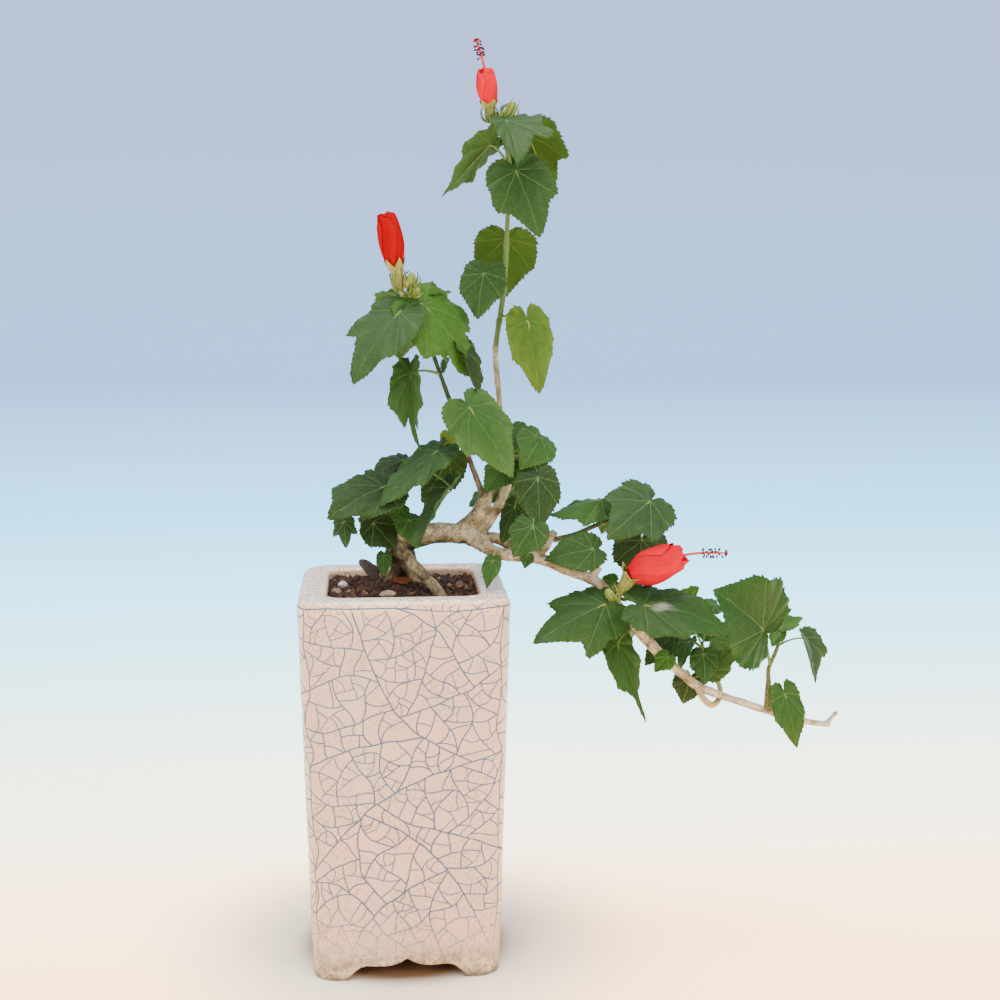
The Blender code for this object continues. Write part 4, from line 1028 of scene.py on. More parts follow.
# painted light and shade in the tints: dark and shade are painted shade for leaves that sit in shadow, backlit is
# painted light shining through a leaf from behind, and the bluish tint is a painted reflection of the sky on the upper
# side
leafTints = {
    "deep": "#1D3B15", "blue": "#234022", "grey": "#20391F", "dark": "#13250C", "mid": "#264919", "fresh": "#315816",
    "backlit": "#254606", "pale": "#3D5D12", "yellow": "#6D842D", "shade": "#14280D",
}


def facing(turn, rise):  # turn from the show side toward +X, and rise, in degrees
    turn, rise = math.radians(turn), math.radians(rise)
    return Vector((math.sin(turn) * math.cos(rise), -math.cos(turn) * math.cos(rise), math.sin(rise)))


def outlineReach(turn, lobe, heart):
    turn = min(abs(turn), 180.0)
    rows = leafShape["outline"]
    for (t0, r0), (t1, r1) in zip(rows, rows[1:]):
        if turn <= t1:
            r0 += leafShape["lobe"].get(t0, 0) * lobe + leafShape["heart"].get(t0, 0) * heart
            r1 += leafShape["lobe"].get(t1, 0) * lobe + leafShape["heart"].get(t1, 0) * heart
            share = (turn - t0) / (t1 - t0)
            return r0 + (r1 - r0) * share
    return rows[-1][1]


def rimSamples(length, width, form, rng):  # turns and reaches round the toothed rim
    lobes = form.get("lobe", rng.uniform(0.0, 0.22))
    left, right = lobes if isinstance(lobes, tuple) else (lobes, lobes)
    heart = form.get("heart", 0.4)
    sides = form.get("sides", (1.0, 1.0))
    fine = []
    for k in range(721):
        turn = -180.0 + k * 0.5
        reach = outlineReach(turn, left if turn < 0 else right, heart)
        for seat, spread, depth in form.get("notches", ()):
            reach *= 1 - depth * max(0.0, 1 - abs(turn - seat) / spread)
        x = reach * math.cos(math.radians(turn))
        y = reach * math.sin(math.radians(turn)) * width * sides[0 if turn < 0 else 1]
        fine.append((turn, reach, x * length, y * length))
    run = [0.0]
    for a, b in zip(fine, fine[1:]):
        run.append(run[-1] + math.dist(a[2:], b[2:]))
    pitch = leafShape["toothPitch"] * min(1.0, 0.45 + length / 55.0)
    teeth = max(14, int(run[-1] / pitch))
    cuts = [(i + rng.uniform(-0.22, 0.22)) / teeth * run[-1] for i in range(teeth)] + [run[-1]]
    cuts[0] = 0.0
    out, k = [], 0
    for a, b in zip(cuts, cuts[1:]):
        depth = leafShape["toothDepth"] * rng.uniform(0.3, 1.6) * min(1.0, length / 28.0)
        before = (a + b) / 2 < run[-1] / 2  # teeth lean to the tip from both sides
        for share, push in ((0.0, 0.0), (0.40, 0.45), (0.78, 1.0)) if before else ((0.0, 0.0), (0.22, 1.0), (0.60, 0.45)):
            place = a + (b - a) * share
            while k < len(run) - 2 and run[k + 1] < place:
                k += 1
            gap = run[k + 1] - run[k]
            part = (place - run[k]) / gap if gap else 0.0
            turn = fine[k][0] + (fine[k + 1][0] - fine[k][0]) * part
            reach = fine[k][1] + (fine[k + 1][1] - fine[k][1]) * part
            fade = min(1.0, (180 - abs(turn)) / 30.0)
            out.append((turn, reach, push * depth * fade / length))
    return out


def bladeSpot(base, ahead, up, side, length, width, arch, fold, form, seat):
    sides = form.get("sides", (1.0, 1.0))
    twist = math.radians(form.get("twist", 0.0))
    curl = form.get("curl", 0.0)
    cup = form.get("cup", 0.10)
    wave = form.get("wave", leafShape["wave"])
    arch = math.radians(max(arch, 1.0))
    chord = math.sin(arch / 2) / (arch / 2)
    lean = arch / 2
    slope = math.tan(math.radians(fold))
    pitch = leafShape["veinPitch"]

    def spot(turn, reach, rim=1.0, tooth=0.0):
        angle = math.radians(turn)
        full = reach * rim + tooth
        u = full * math.cos(angle)
        v = full * math.sin(angle) * width * sides[0 if turn < 0 else 1]
        bend = arch * u
        run = math.sin(bend) / arch / chord
        drop = (math.cos(bend) - 1) / arch / chord
        flat = run * math.cos(lean) - drop * math.sin(lean)
        high = run * math.sin(lean) + drop * math.cos(lean)
        away = abs(turn) % pitch
        off = min(away, pitch - away) / (pitch / 2)
        quilt = leafShape["quilt"] * math.sin(math.pi / 2 * min(1.0, off)) ** 0.8 * full * (1.15 - 0.5 * full)
        vein = full * math.cos(math.radians(min(away, pitch - away)))
        beside = full * math.sin(math.radians(min(away, pitch - away)))
        rib = abs(math.sin((vein - beside * 0.9) * math.pi * 6.5)) * leafShape["ribbing"] * min(1.0, full * 2)
        ripple = wave * rim ** 3 * math.sin(angle * 5.0 + seat * 7.0) * full + wave * 0.5 * rim ** 4 * math.sin(angle * 13.0 + seat)
        ripple += leafShape["wander"] * noise.noise(Vector((u * 2.2, v * 2.2, seat * 5.0))) * min(1.0, full * 1.5)
        lift = abs(v) * slope - cup * v * v + quilt + rib + ripple - curl * max(0.0, u - 0.45) ** 2
        roll = twist * u
        across = side * math.cos(roll) + up * math.sin(roll)
        above = up * math.cos(roll) - side * math.sin(roll)
        return base + (ahead * flat + above * (high + lift) + across * v) * length

    return spot


def growLeaf(foliage, stalks, start, row, form, rng):
    base, tip, faces, width, arch, fold = row
    base, tip = Vector(base), Vector(tip)
    reach = tip - base
    length = reach.length
    ahead = reach.normalized()
    up = facing(*faces)
    up = (up - ahead * up.dot(ahead)).normalized()
    side = ahead.cross(up)
    seat = rng.uniform(0, 9)
    spot = bladeSpot(base, ahead, up, side, length, width, arch, fold, form, seat)
    rim = rimSamples(length, width, form, rng)
    tint = toLinear(leafTints[form.get("tint", "deep")])
    tint = mixTint(tint, toLinear("#1C3A1C"), rng.uniform(0.0, 0.15))
    edge = mixTint(tint, toLinear(form.get("edge", "#4E7430")), form.get("edging", 0.14))
    rows, tints, uvs = [], [], []
    for ring in leafShape["rings"]:
        points, colors, planes = [], [], []
        for turn, far, tooth in rim:
            points.append(at(spot(turn, far, ring, tooth * ring ** 10)))
            angle = math.radians(turn)
            bloom = 0.0
            if "bloom" in form:  # dried water spots: place and size on the blade in mm
                u, v, size = form["bloom"]
                away = math.dist((far * ring * math.cos(angle) * length, far * ring * math.sin(angle) * length), (u, v)) / size
                bloom = 0.62 * max(0.0, min(1.0, 1.6 - away * 1.5 + 0.9 * noise.noise(Vector((turn / 9, ring * 9, 1.0)))))
            colors.append(mixTint(mixTint(tint, edge, ring ** 3), toLinear("#A9AFA6"), bloom))
            planes.append((0.5 + far * ring * math.cos(angle) * length / 100, 0.5 + far * ring * math.sin(angle) * length / 100))
        rows.append(points)
        tints.append(colors)
        uvs.append(planes)
    first = len(foliage["faces"])
    addGrid(foliage, rows, True, tints, uvs)
    count = len(rim)
    hole = form.get("hole")
    if hole:  # where basal lobes overlap past an open sinus
        kept = []
        for number, face in enumerate(foliage["faces"][first:]):
            ring, k = divmod(number, count)
            turn = rim[k][0] % 360
            inside = hole[0] < turn < hole[1] and hole[2] < leafShape["rings"][ring] < hole[3]
            if not inside:
                kept.append(face)
        foliage["faces"][first:] = kept
    color = toLinear(form.get("stalk", petiole["color"]))
    sag = Vector((0, 0, (base - start).length * petiole["rise"]))
    thick = petiole["radius"] * min(1.15, 0.55 + length / 60.0)
    under = -up * (leafShape["thick"] + 0.1)
    route = [(*start, thick * petiole["foot"]), (*((start + base) / 2 + sag), thick), (*(base + under * 0.7), thick * 0.95)]
    last = 0.85
    for share in petiole["midrib"]:
        last *= 0.78
        route.append((*(spot(0.001, 1.0, share) + under), thick * last))
    addTube(stalks, route, (color, mixTint(color, tint, 0.45)), 7, 3)
    return base


def makeLeafMaterials():
    made = []
    for name, isUnder in (("mallow leaf upper side", False), ("mallow leaf underside", True)):
        # a soft leaf with fine hairs: satin above, paler and duller below, veins light
        leaf, tree, shader = newMaterial(name, {"Roughness": 0.65 if isUnder else 0.52, "Specular IOR Level": 0.13,
                                                "Sheen Weight": 0.03, "Sheen Roughness": 0.45})
        shader.inputs["Sheen Tint"].default_value = toLinear("#C9E0DC")
        tint = addNode(tree, "ShaderNodeVertexColor", {"layer_name": "tint"}).outputs[0]
        plane = addNode(tree, "ShaderNodeUVMap", {"uv_map": "plane"}).outputs[0]
        inMm = addNode(tree, "ShaderNodeVectorMath", {"operation": "MULTIPLY_ADD"},
                       {1: (100.0, 100.0, 0.0), 2: (-50.0, -50.0, 0.0)}, {0: plane}).outputs[0]
        stray = addNode(tree, "ShaderNodeTexNoise", values={"Scale": 0.16, "Detail": 2.0}, links={"Vector": inMm}).outputs[1]
        strayed = addNode(tree, "ShaderNodeVectorMath", {"operation": "MULTIPLY_ADD"}, {1: (1.8, 1.8, 0.0)},
                          {0: stray, 2: inMm}).outputs[0]
        centred = addNode(tree, "ShaderNodeVectorMath", {"operation": "SUBTRACT"}, {1: (0.9, 0.9, 0.0)},
                          {0: strayed}).outputs[0]
        parts = addNode(tree, "ShaderNodeSeparateXYZ", links={0: centred}).outputs
        angle = mathNode(tree, "ABSOLUTE", mathNode(tree, "ARCTAN2", parts[1], parts[0]))
        away = mathNode(tree, "PINGPONG", angle, math.radians(leafShape["veinPitch"] / 2))
        far = addNode(tree, "ShaderNodeVectorMath", {"operation": "LENGTH"}, links={0: centred}).outputs[1]
        beside = mathNode(tree, "MULTIPLY", far, mathNode(tree, "SINE", away))
        alongVein = mathNode(tree, "MULTIPLY", far, mathNode(tree, "COSINE", away))
        broad = mathNode(tree, "SUBTRACT", 0.30, mathNode(tree, "MULTIPLY", alongVein, 0.005))
        main = mathNode(tree, "SUBTRACT", 1.0, remap(tree, mathNode(tree, "DIVIDE", beside, broad), 0.45, 1.1))
        slant = mathNode(tree, "MULTIPLY_ADD", beside, -0.9, alongVein)
        between = mathNode(tree, "PINGPONG", slant, 2.9)
        second = mathNode(tree, "SUBTRACT", 1.0, remap(tree, between, 0.10, 0.30))
        netting = addNode(tree, "ShaderNodeTexVoronoi", {"feature": "DISTANCE_TO_EDGE"}, {"Scale": 0.75},
                          {"Vector": strayed}).outputs[0]
        net = mathNode(tree, "SUBTRACT", 1.0, remap(tree, netting, 0.02, 0.14))
        main = mathNode(tree, "MULTIPLY", main, remap(tree, angle, 1.6, 2.3, 1.0, 0.12))
        veins = mathNode(tree, "MAXIMUM", mathNode(tree, "MULTIPLY", main, 0.56), mathNode(tree, "MULTIPLY", second, 0.2))
        veins = mathNode(tree, "MAXIMUM", veins, mathNode(tree, "MULTIPLY", net, 0.10))
        blotch = addNode(tree, "ShaderNodeTexNoise", values={"Scale": 0.22, "Detail": 3.0}, links={"Vector": inMm}).outputs[0]
        body = mixColors(tree, remap(tree, blotch, 0.35, 0.7, 0.0, 0.30), tint, toLinear("#143014"))
        if isUnder:
            body = mixColors(tree, 0.3, body, toLinear("#34521A"))
        light = toLinear("#5C7430" if isUnder else "#5E8046")
        tree.links.new(mixColors(tree, mathNode(tree, "MULTIPLY", veins, 0.75), body, light), shader.inputs["Base Color"])
        relief = mathNode(tree, "MULTIPLY", veins, 1.0 if isUnder else -1.0)
        bump = addNode(tree, "ShaderNodeBump", values={"Strength": 0.5, "Distance": 0.0005}, links={"Height": relief})
        tree.links.new(bump.outputs[0], shader.inputs["Normal"])
        made.append(leaf)
    stalk, tree, shader = newMaterial("hairy green stalk", {"Roughness": 0.55, "Specular IOR Level": 0.3})
    tint = addNode(tree, "ShaderNodeVertexColor", {"layer_name": "tint"}).outputs[0]
    place = addNode(tree, "ShaderNodeTexCoord").outputs["Object"]
    mottle = addNode(tree, "ShaderNodeTexNoise", values={"Scale": 800.0, "Detail": 2.0}, links={"Vector": place}).outputs[0]
    tree.links.new(mixColors(tree, remap(tree, mottle, 0.4, 0.7, 0.0, 0.3), tint, toLinear("#A3A870")), shader.inputs["Base Color"])
    made.append(stalk)
    return made


# Each shoot: its stem, its two end colours, and its leaves. A leaf's row is the share of the stem
# it leaves from, the blade's base and tip, the way its upper side faces, its width to length, its
# arch and its fold in degrees, and what is special about it.
shoots = {
    "leaves_top": {
        "stem": ((53, 12, 363.5, 1.2), (54, 10, 383, 1.2), (52, 9, 396, 1.1), (49.5, 8, 404, 1.0)),
        "colors": ("#4E6A36", "#587A3A"),
        "leaves": (
            (0.60, (44, 4, 397), (22, -5, 371), (-125, 30), 0.72, 20, 8, {"tint": "mid", "lobe": 0.0}),
            (0.93, (51, 0, 408), (54, -24, 385.5), (8, 50), 0.92, 40, 2, {"tint": "deep", "heart": 0.8, "lobe": (1.1, 0.0), "sides": (1.3, 0.55), "cup": -0.1}),
            (0.85, (63, 14, 403), (74, 20, 373), (160, 20), 1.0, 20, 5, {"tint": "backlit", "lobe": 0.7, "heart": 0.4}),
            (0.40, (55, -8, 384), (66, -14, 353), (5, 15), 1.02, 25, -5, {"tint": "deep", "lobe": 0.4, "heart": 0.5}),
            (0.30, (56, 20, 386), (60, 38, 366), (170, 40), 0.9, 30, 8, {"tint": "mid"}),
        ),
    },
    "leaves_left_crown": {
        "stem": ((15.3, -4, 298, 1.1), (9, -6, 313, 1.1), (3, -7, 324, 1.0), (1, -8, 328, 0.9)),
        "colors": ("#26391B", "#3C5A2A"),
        "leaves": (
            (0.70, (-0.5, -15, 318), (-23, -32, 286), (-8, 45), 0.82, 30, -12, {"tint": "blue", "heart": 0.8, "sides": (0.78, 1.0), "lobe": (0.0, 0.8)}),
            (0.80, (11, -8, 321), (33.5, -5, 287), (30, 30), 1.0, 40, -8, {"tint": "fresh", "heart": 0.6, "lobe": 0.5, "notches": ((-22, 4, 0.16), (14, 5, 0.2), (-9, 3, 0.1))}),
            (0.70, (27, -3, 302), (36.5, -9, 277), (55, 5), 0.55, 25, 28, {"tint": "dark", "notches": ((30, 8, 0.3), (-24, 6, 0.22))}),
            (0.90, (2, 4, 324), (-12, 20, 316), (-165, 45), 0.95, 25, 8, {"tint": "fresh"}),
            (0.85, (9, 6, 325), (22, 28, 322), (150, 45), 1.0, 25, 8, {"tint": "mid"}),
            (0.40, (6, 10, 312), (0, 32, 294), (180, 35), 0.95, 30, 6, {"tint": "deep"}),
        ),
    },
    "leaves_centre": {
        "stem": ((48, 8, 245.5, 1.1), (55, 4, 248, 1.0), (62, 2, 246, 0.9), (67, 2, 238, 0.8)),
        "colors": ("#5A6838", "#587A3A"),
        "leaves": (
            (0.10, (52, 0, 244), (40, -4, 230), (-20, 15), 0.9, 15, 0, {"tint": "mid"}),
            (0.35, (60, -1, 261), (50, -9, 249), (-15, 50), 1.1, 25, -6, {"tint": "mid"}),
            (0.70, (68, -2, 257), (57, -15, 243), (25, 35), 1.05, 55, -8, {"tint": "mid"}),
            (1.00, (65, -16, 239), (65, -23, 214), (5, 8), 0.9, 30, -10, {"tint": "shade", "heart": 0.9}),
            (0.60, (55, -8, 224), (49, -6, 205), (-50, 10), 0.8, 20, -5, {"tint": "shade"}),
            (0.90, (62, -26, 217), (52, -31, 203), (-5, 25), 1.1, 25, -10, {"tint": "deep", "heart": 0.9}),
            (0.50, (60, 16, 250), (64, 36, 228), (165, 35), 0.95, 30, 6, {"tint": "deep"}),
            (0.80, (58, 18, 232), (50, 34, 214), (-165, 30), 0.95, 30, 6, {"tint": "deep"}),
        ),
    },
    "leaves_low_left": {
        "stem": ((-3, 11, 203, 1.5), (-6, 6, 219, 1.3), (-4, 4, 230, 1.1), (4, 2, 240, 0.9), (14, 0, 246, 0.8)),
        "colors": ("#4A3826", "#4C6632"),
        "leaves": (
            (0.75, (1, 0, 246), (-15, -8, 237), (-5, 60), 0.9, 40, -8, {"tint": "dark", "heart": 0.8}),
            (0.55, (-21, -6, 235), (-32, -18, 224), (-30, 45), 1.2, 35, -8, {"tint": "grey", "heart": 0.9}),
            (0.60, (-8, -20, 236), (-35, -36, 223), (-5, 48), 0.9, 25, -5, {"tint": "dark", "lobe": 0.3}),
            (0.95, (17, -14, 252), (-10, -32, 227), (-25, 50), 0.55, 25, -8, {"tint": "blue"}),
            (0.98, (24, 10, 246), (10, 6, 224), (150, 25), 0.85, 20, 6, {"tint": "deep"}),
            (0.85, (23, -20, 235), (7, -30, 207), (-70, 25), 0.55, 20, 25, {"tint": "grey"}),
            (0.30, (-1, -2, 223), (-3, -8, 215), (10, 30), 1.1, 15, 0, {"tint": "fresh"}),
            (0.20, (3, -14, 219), (7, -22, 206), (20, 25), 1.0, 20, -8, {"tint": "mid"}),
            (0.30, (-14, -4, 216), (-3, -13, 204), (-10, 20), 1.05, 20, -6, {"tint": "dark"}),
            (0.50, (-28, -12, 218), (-27, -17, 206), (0, 15), 0.9, 15, -8, {"tint": "grey", "lobe": 1.0}),
            (0.65, (-6, 10, 237), (-13, 8, 231), (-160, 30), 1.4, 15, 5, {"tint": "fresh"}),
            (0.45, (-16, 14, 228), (-32, 26, 216), (-140, 45), 0.95, 30, 6, {"tint": "deep"}),
            (0.25, (-8, 18, 216), (-18, 34, 202), (-165, 35), 0.95, 30, 6, {"tint": "deep"}),
        ),
    },
    "leaves_back_twig": {
        "stem": ((75.5, 6, 204.5, 1.5), (86, 4, 207.5, 1.3), (93, 2, 211, 1.2), (100, 0, 214, 1.1), (110, 2, 216, 1.0),
                 (119, 5, 219, 0.8)),
        "colors": ("#4E5230", "#33501F"),
        "leaves": (
            (0.55, (98, 2, 225), (72, -8, 218), (-15, 60), 0.75, 20, -30, {"tint": "mid"}),
            (0.95, (122, -4, 225), (99, -18, 209), (5, 38), 1.15, 20, -6, {"tint": "grey", "lobe": 0.6, "heart": 0.6}),
            (0.90, (121, 12, 203), (119, 12, 178), (0, 10), 1.2, 20, -6, {"tint": "dark"}),
            (0.80, (112, 18, 218), (104, 36, 202), (-165, 35), 0.95, 30, 6, {"tint": "deep"}),
        ),
    },
    "leaves_hook": {
        "stem": ((147, -4.5, 131, 1.7), (150, -7, 125, 1.7), (154, -6, 121.5, 1.6), (158, -2, 122, 1.5),
                 (160, 1, 125, 1.3), (160, 3, 129, 1.25), (156, 6, 139, 1.1), (151, 4, 150, 0.9)),
        "colors": ("#A88C70", "#6E8044"),
        "leaves": (
            (0.97, (141, 10, 168), (151, 14, 178), (150, 45), 1.2, 15, 5, {"tint": "fresh"}),
            (1.00, (160, 17, 168), (149, 13, 166), (20, 60), 1.1, 20, -5, {"tint": "mid"}),
            (0.85, (157, 10, 151), (170, 18, 156), (20, 50), 1.5, 30, 6, {"tint": "fresh"}),
            (0.75, (153, -7, 139), (165, -15, 153), (25, 40), 0.7, 20, -8, {"tint": "mid"}),
            (0.80, (148, -14, 150), (148, -20, 136), (-5, 20), 1.0, 20, -8, {"tint": "deep"}),
            (0.85, (142, -8, 155), (137, -14, 143), (-60, 20), 0.9, 25, 12, {"tint": "deep"}),
            (0.95, (138, 8, 156), (122, 4, 140), (-20, 30), 0.85, 20, -6, {"tint": "shade"}),
            (0.60, (146, 8, 132), (143, 10, 118), (-5, 15), 1.2, 20, -6, {"tint": "shade"}),
            (0.70, (160, 18, 140), (168, 34, 130), (150, 40), 0.95, 30, 6, {"tint": "deep"}),
        ),
    },
    "leaves_end": {
        "stem": ((184, -1, 116.5, 2.0), (184, -2, 126, 1.8), (184, -2, 133, 1.25), (184, -2, 139, 1.1),
                 (188, -2, 149, 1.0), (190, -2, 159, 0.8)),
        "colors": ("#544A30", "#33521C"),
        "leaves": (
            (0.55, (178, -12, 161), (151, -25, 184), (-10, 28), 1.3, 25, 10, {"tint": "deep", "lobe": (-0.2, -0.5), "heart": 1.1, "edge": "#184E10", "edging": 0.5}),
            (1.00, (191, 0, 160), (203, 6, 163), (-20, 55), 0.8, 20, 6, {"tint": "fresh"}),
            (0.92, (189, -2, 157), (184, -8, 151), (-30, 40), 0.9, 15, 6, {"tint": "fresh"}),
            (0.80, (200, -6, 155), (204, -11, 133), (62, 22), 1.15, 25, 26, {"tint": "grey", "lobe": 0.5}),
            (0.30, (191, -8, 127), (197, -12, 100), (5, 10), 0.62, 20, -10, {"tint": "mid"}),
        ),
    },
}
# Leaves that hang alone on a limb: the place they leave it, and the same row
loneLeaves = {
    "leaf_stem_behind": ((51.5, 12, 349), (53, 22, 353), (52, 34, 322), (172, 22), 1.0, 25, 5, {"tint": "backlit", "heart": 0.0}),
    "leaf_stem_curled": ((50, 12, 332), (40.5, 1, 336.2), (37, -6, 314.4), (-12, 22), 1.02, 30, -8,
                         {"tint": "deep", "heart": 1.5, "lobe": 0.0, "hole": (150, 196, 0.2, 0.62)}),
    "leaf_stem_pale": ((50, 12, 315), (62, 4, 313), (67, 0, 278), (10, 12), 0.68, 20, -6,
                       {"tint": "pale", "edge": "#627C28", "edging": 0.5, "stalk": "#848F48"}),
    "leaf_left_hanging": ((19, -2, 288), (5, -8, 289), (9, -14, 254), (-42, 12), 0.56, 30, 26, {"tint": "mid", "notches": ((-9, 4, 0.25), (12, 5, 0.28)), "stalk": "#42602C"}),
    "leaf_left_bud": ((18.5, -2, 290), (20, -3, 291), (23, -8, 296), (0, 40), 0.9, 10, 0, {"tint": "fresh"}),
    "leaf_heart": ((27, 1, 267), (32, -18, 273), (52, -30, 241), (-5, 38), 0.77, 25, -14, {"tint": "mid", "heart": 0.35, "lobe": 0.3, "edge": "#587E42", "edging": 0.34}),
    "leaf_yellow_bud": ((27.5, 1, 264), (23, -1, 258), (23.5, -3, 245.5), (-20, 10), 0.7, 10, 20, {"tint": "yellow"}),
    "leaf_fork": ((38, 4, 219), (38, 12, 226), (34, 18, 220), (-30, 40), 0.9, 10, 0, {"tint": "fresh"}),
    "leaf_drip": ((48, -1, 199.5), (43, -22, 200), (39.5, -29, 188), (-15, 5), 0.66, 15, -8, {"tint": "mid"}),
    "leaf_under": ((62, -3, 196), (61, -11, 200), (59, -14, 194), (-5, 10), 1.0, 10, 0, {"tint": "mid"}),
    "leaf_bough_front": ((88, -7, 188), (93, -13, 203), (69, -17, 199), (-5, 28), 0.84, 20, -6, {"tint": "deep", "lobe": -0.3}),
    "leaf_trunk_foot": ((-5, 8, 199), (-9, -5, 200), (-9, -9, 190), (-5, 10), 0.75, 15, 0, {"tint": "mid"}),
    "leaf_star": ((110, -8, 167), (97, -25, 178), (61, -38, 162), (-5, 42), 0.88, 25, -24, {"tint": "deep", "lobe": (0.9, 0.75)}),
    "leaf_silver": ((114, -8, 163), (115, -31, 178.5), (157, -34, 166), (0, 60), 0.85, 25, -5, {"tint": "deep", "lobe": 0.0, "bloom": (8.0, -0.5, 4.6)}),
    "leaf_below": ((113, -8, 164), (105, -15, 156), (117, -21, 118), (20, 12), 0.5, 12, -10, {"tint": "mid", "twist": 50}),
    "leaf_wrap": ((127, -7, 149), (130, -15, 149), (123, -17, 142), (0, 40), 1.1, 15, 0, {"tint": "fresh"}),
    "leaf_calyx": ((106, -7, 172), (106, 3, 183), (97, 6, 178), (-10, 40), 1.2, 15, 0, {"tint": "fresh"}),
    "leaf_back_low": ((121, -7, 156), (116, 13, 158), (120, 36, 146), (165, 35), 0.95, 30, 6, {"tint": "deep"}),
    "leaf_back_mid": ((58, 8, 200), (60, 24, 204), (70, 42, 190), (150, 35), 0.9, 30, 6, {"tint": "deep"}),
}
deadLeaf = ((1, 18, 186.5), (-2.6, 14.5, 185.6), (2.2, -1.5, 184.2), (10, 60), 0.75, 30, -12)
foliagePieces = {
    "foliageTop": ("leaves_top", "leaf_stem_behind", "leaf_stem_curled", "leaf_stem_pale"),
    "foliageLeft": ("leaves_left_crown", "leaf_left_hanging", "leaf_left_bud", "leaf_heart", "leaf_yellow_bud"),
    "foliageFoot": ("leaves_low_left", "leaf_trunk_foot", "leaf_drip", "leaf_under", "leaf_fork"),
    "foliageCentre": ("leaves_centre", "leaves_back_twig", "leaf_bough_front", "leaf_back_mid"),
    "foliageCascade": ("leaves_hook", "leaf_star", "leaf_silver", "leaf_below", "leaf_wrap", "leaf_calyx", "leaf_back_low"),
    "foliageEnd": ("leaves_end",),
}


def makeDeadLeaf():
    # a dry fallen leaf: orange brown, papery
    dry, tree, shader = newMaterial("dry fallen leaf", {"Roughness": 0.7, "Specular IOR Level": 0.3})
    tint = addNode(tree, "ShaderNodeVertexColor", {"layer_name": "tint"}).outputs[0]
    place = addNode(tree, "ShaderNodeTexCoord").outputs["Object"]
    blotch = addNode(tree, "ShaderNodeTexNoise", values={"Scale": 350.0, "Detail": 3.0}, links={"Vector": place}).outputs[0]
    tree.links.new(mixColors(tree, remap(tree, blotch, 0.4, 0.7, 0.0, 0.6), tint, toLinear("#4A2410")), shader.inputs["Base Color"])
    return dry


def makeFoliage(upper, under, stalkMaterial):
    stalks = newPiece()
    for number, (name, nodes) in enumerate(foliagePieces.items()):
        foliage = newPiece()
        for node in nodes:
            rng = random.Random(sum(ord(letter) for letter in node))
            if node in shoots:
                shoot = shoots[node]
                addTube(stalks, shoot["stem"], tuple(toLinear(c) for c in shoot["colors"]), 10)
                for share, *row, form in shoot["leaves"]:
                    growLeaf(foliage, stalks, along(shoot["stem"], share), row, form, rng)
            else:
                start, *row, form = loneLeaves[node]
                growLeaf(foliage, stalks, Vector(start), row, form, rng)
        made = makePiece(name, foliage, [upper, under], nodes, 0)
        made.modifiers.new("stalk point", "WELD").merge_threshold = 0.000002
        shell = made.modifiers.new("thickness", "SOLIDIFY")
        shell.thickness = leafShape["thick"] * mm
        shell.offset = -1.0
        shell.material_offset = 1
        shell.use_even_offset = False
        print(name, "has", len(made.data.polygons), "faces a side")
    fallen = newPiece()
    leafTints["dead"] = "#8A4A1C"
    growLeaf(fallen, stalks, Vector(deadLeaf[0]), deadLeaf[1:], {"tint": "dead", "edge": "#5A2E12", "stalk": "#5A3A1C"}, random.Random(8))
    made = makePiece("fallenLeaf", fallen, [makeDeadLeaf()], (), 0)
    made.modifiers.new("stalk point", "WELD").merge_threshold = 0.000002
    shell = made.modifiers.new("thickness", "SOLIDIFY")
    shell.thickness = leafShape["thick"] * mm
    return makePiece("stalks", stalks, [stalkMaterial], (), 0)


upperSide, underSide, stalkMaterial = makeLeafMaterials()
makeFoliage(upperSide, underSide, stalkMaterial)


# ---- flowers

petalShape = {"span": 84.0, "overlap": 0.62, "thick": 0.26, "rows": 22, "columns": 20}
flowers = {
    "flower_top": {
        "foot": (49.3, 8, 405), "calyx": (44.5, 8.5, 407.5), "throat": (43.5, 7.5, 416.2), "mouth": (41.5, 6, 433.0),
        "column": (37.3, 4, 445.2), "radius": 4.5, "belly": 0.48, "base": 0.56, "close": 0.70, "twist": 26, "turn": 40,
        "heights": (1.0, 0.94, 0.86, 0.97, 0.90), "flares": (0.2, 0.0, 1.5, 0.0, 0.4), "color": "#C80020", "edge": "#E60630",
        "cup": 2.9, "lobes": 2.2, "bracts": 8, "reach": 8.0, "anthers": 22,
        "buds": (((49, 8, 405.5), (50.2, 8, 414), 2.3), ((50, 8, 405.5), (56.5, 9, 419), 3.1)),
    },
    "flower_left": {
        "foot": (1, -8, 325), "calyx": (0, -8, 328), "throat": (-2, -9, 339), "mouth": (-6.6, -10, 364.5),
        "column": None, "radius": 5.6, "belly": 0.50, "base": 0.42, "close": 0.66, "twist": 18, "turn": 20,
        "heights": (1.0, 0.985, 0.95, 0.99, 0.97), "flares": (0.1, 0.0, 0.2, 0.1, 0.0), "color": "#88000A", "edge": "#A80212",
        "cup": 3.1, "lobes": 4.6, "bracts": 8, "reach": 10.5, "anthers": 0,
        "buds": (((3, -8, 326), (6.5, -10, 337.5), 3.2), ((4, -9, 325), (9.5, -12.5, 329.5), 2.4)),
    },
    "flower_right": {
        "foot": (104.5, -9, 173.5), "calyx": (104.4, -15, 179.5), "throat": (110.5, -20.5, 191.5),
        "mouth": (136, -26, 202.8), "column": (155, -29, 203), "radius": 8.5, "belly": 0.40, "base": 0.33, "close": 0.50,
        "twist": 38, "turn": 205,
        "heights": (1.0, 0.95, 0.86, 0.98, 0.9), "flares": (0.5, 0.2, 2.2, 0.3, 1.2), "color": "#B60020", "edge": "#DA082E",
        "cup": 4.0, "lobes": 2.8, "bracts": 7, "reach": 6.5, "anthers": 26,
        "buds": (((105.0, -18.0, 172.8), (97.6, -21.5, 186.0), 3.4),),
    },
}
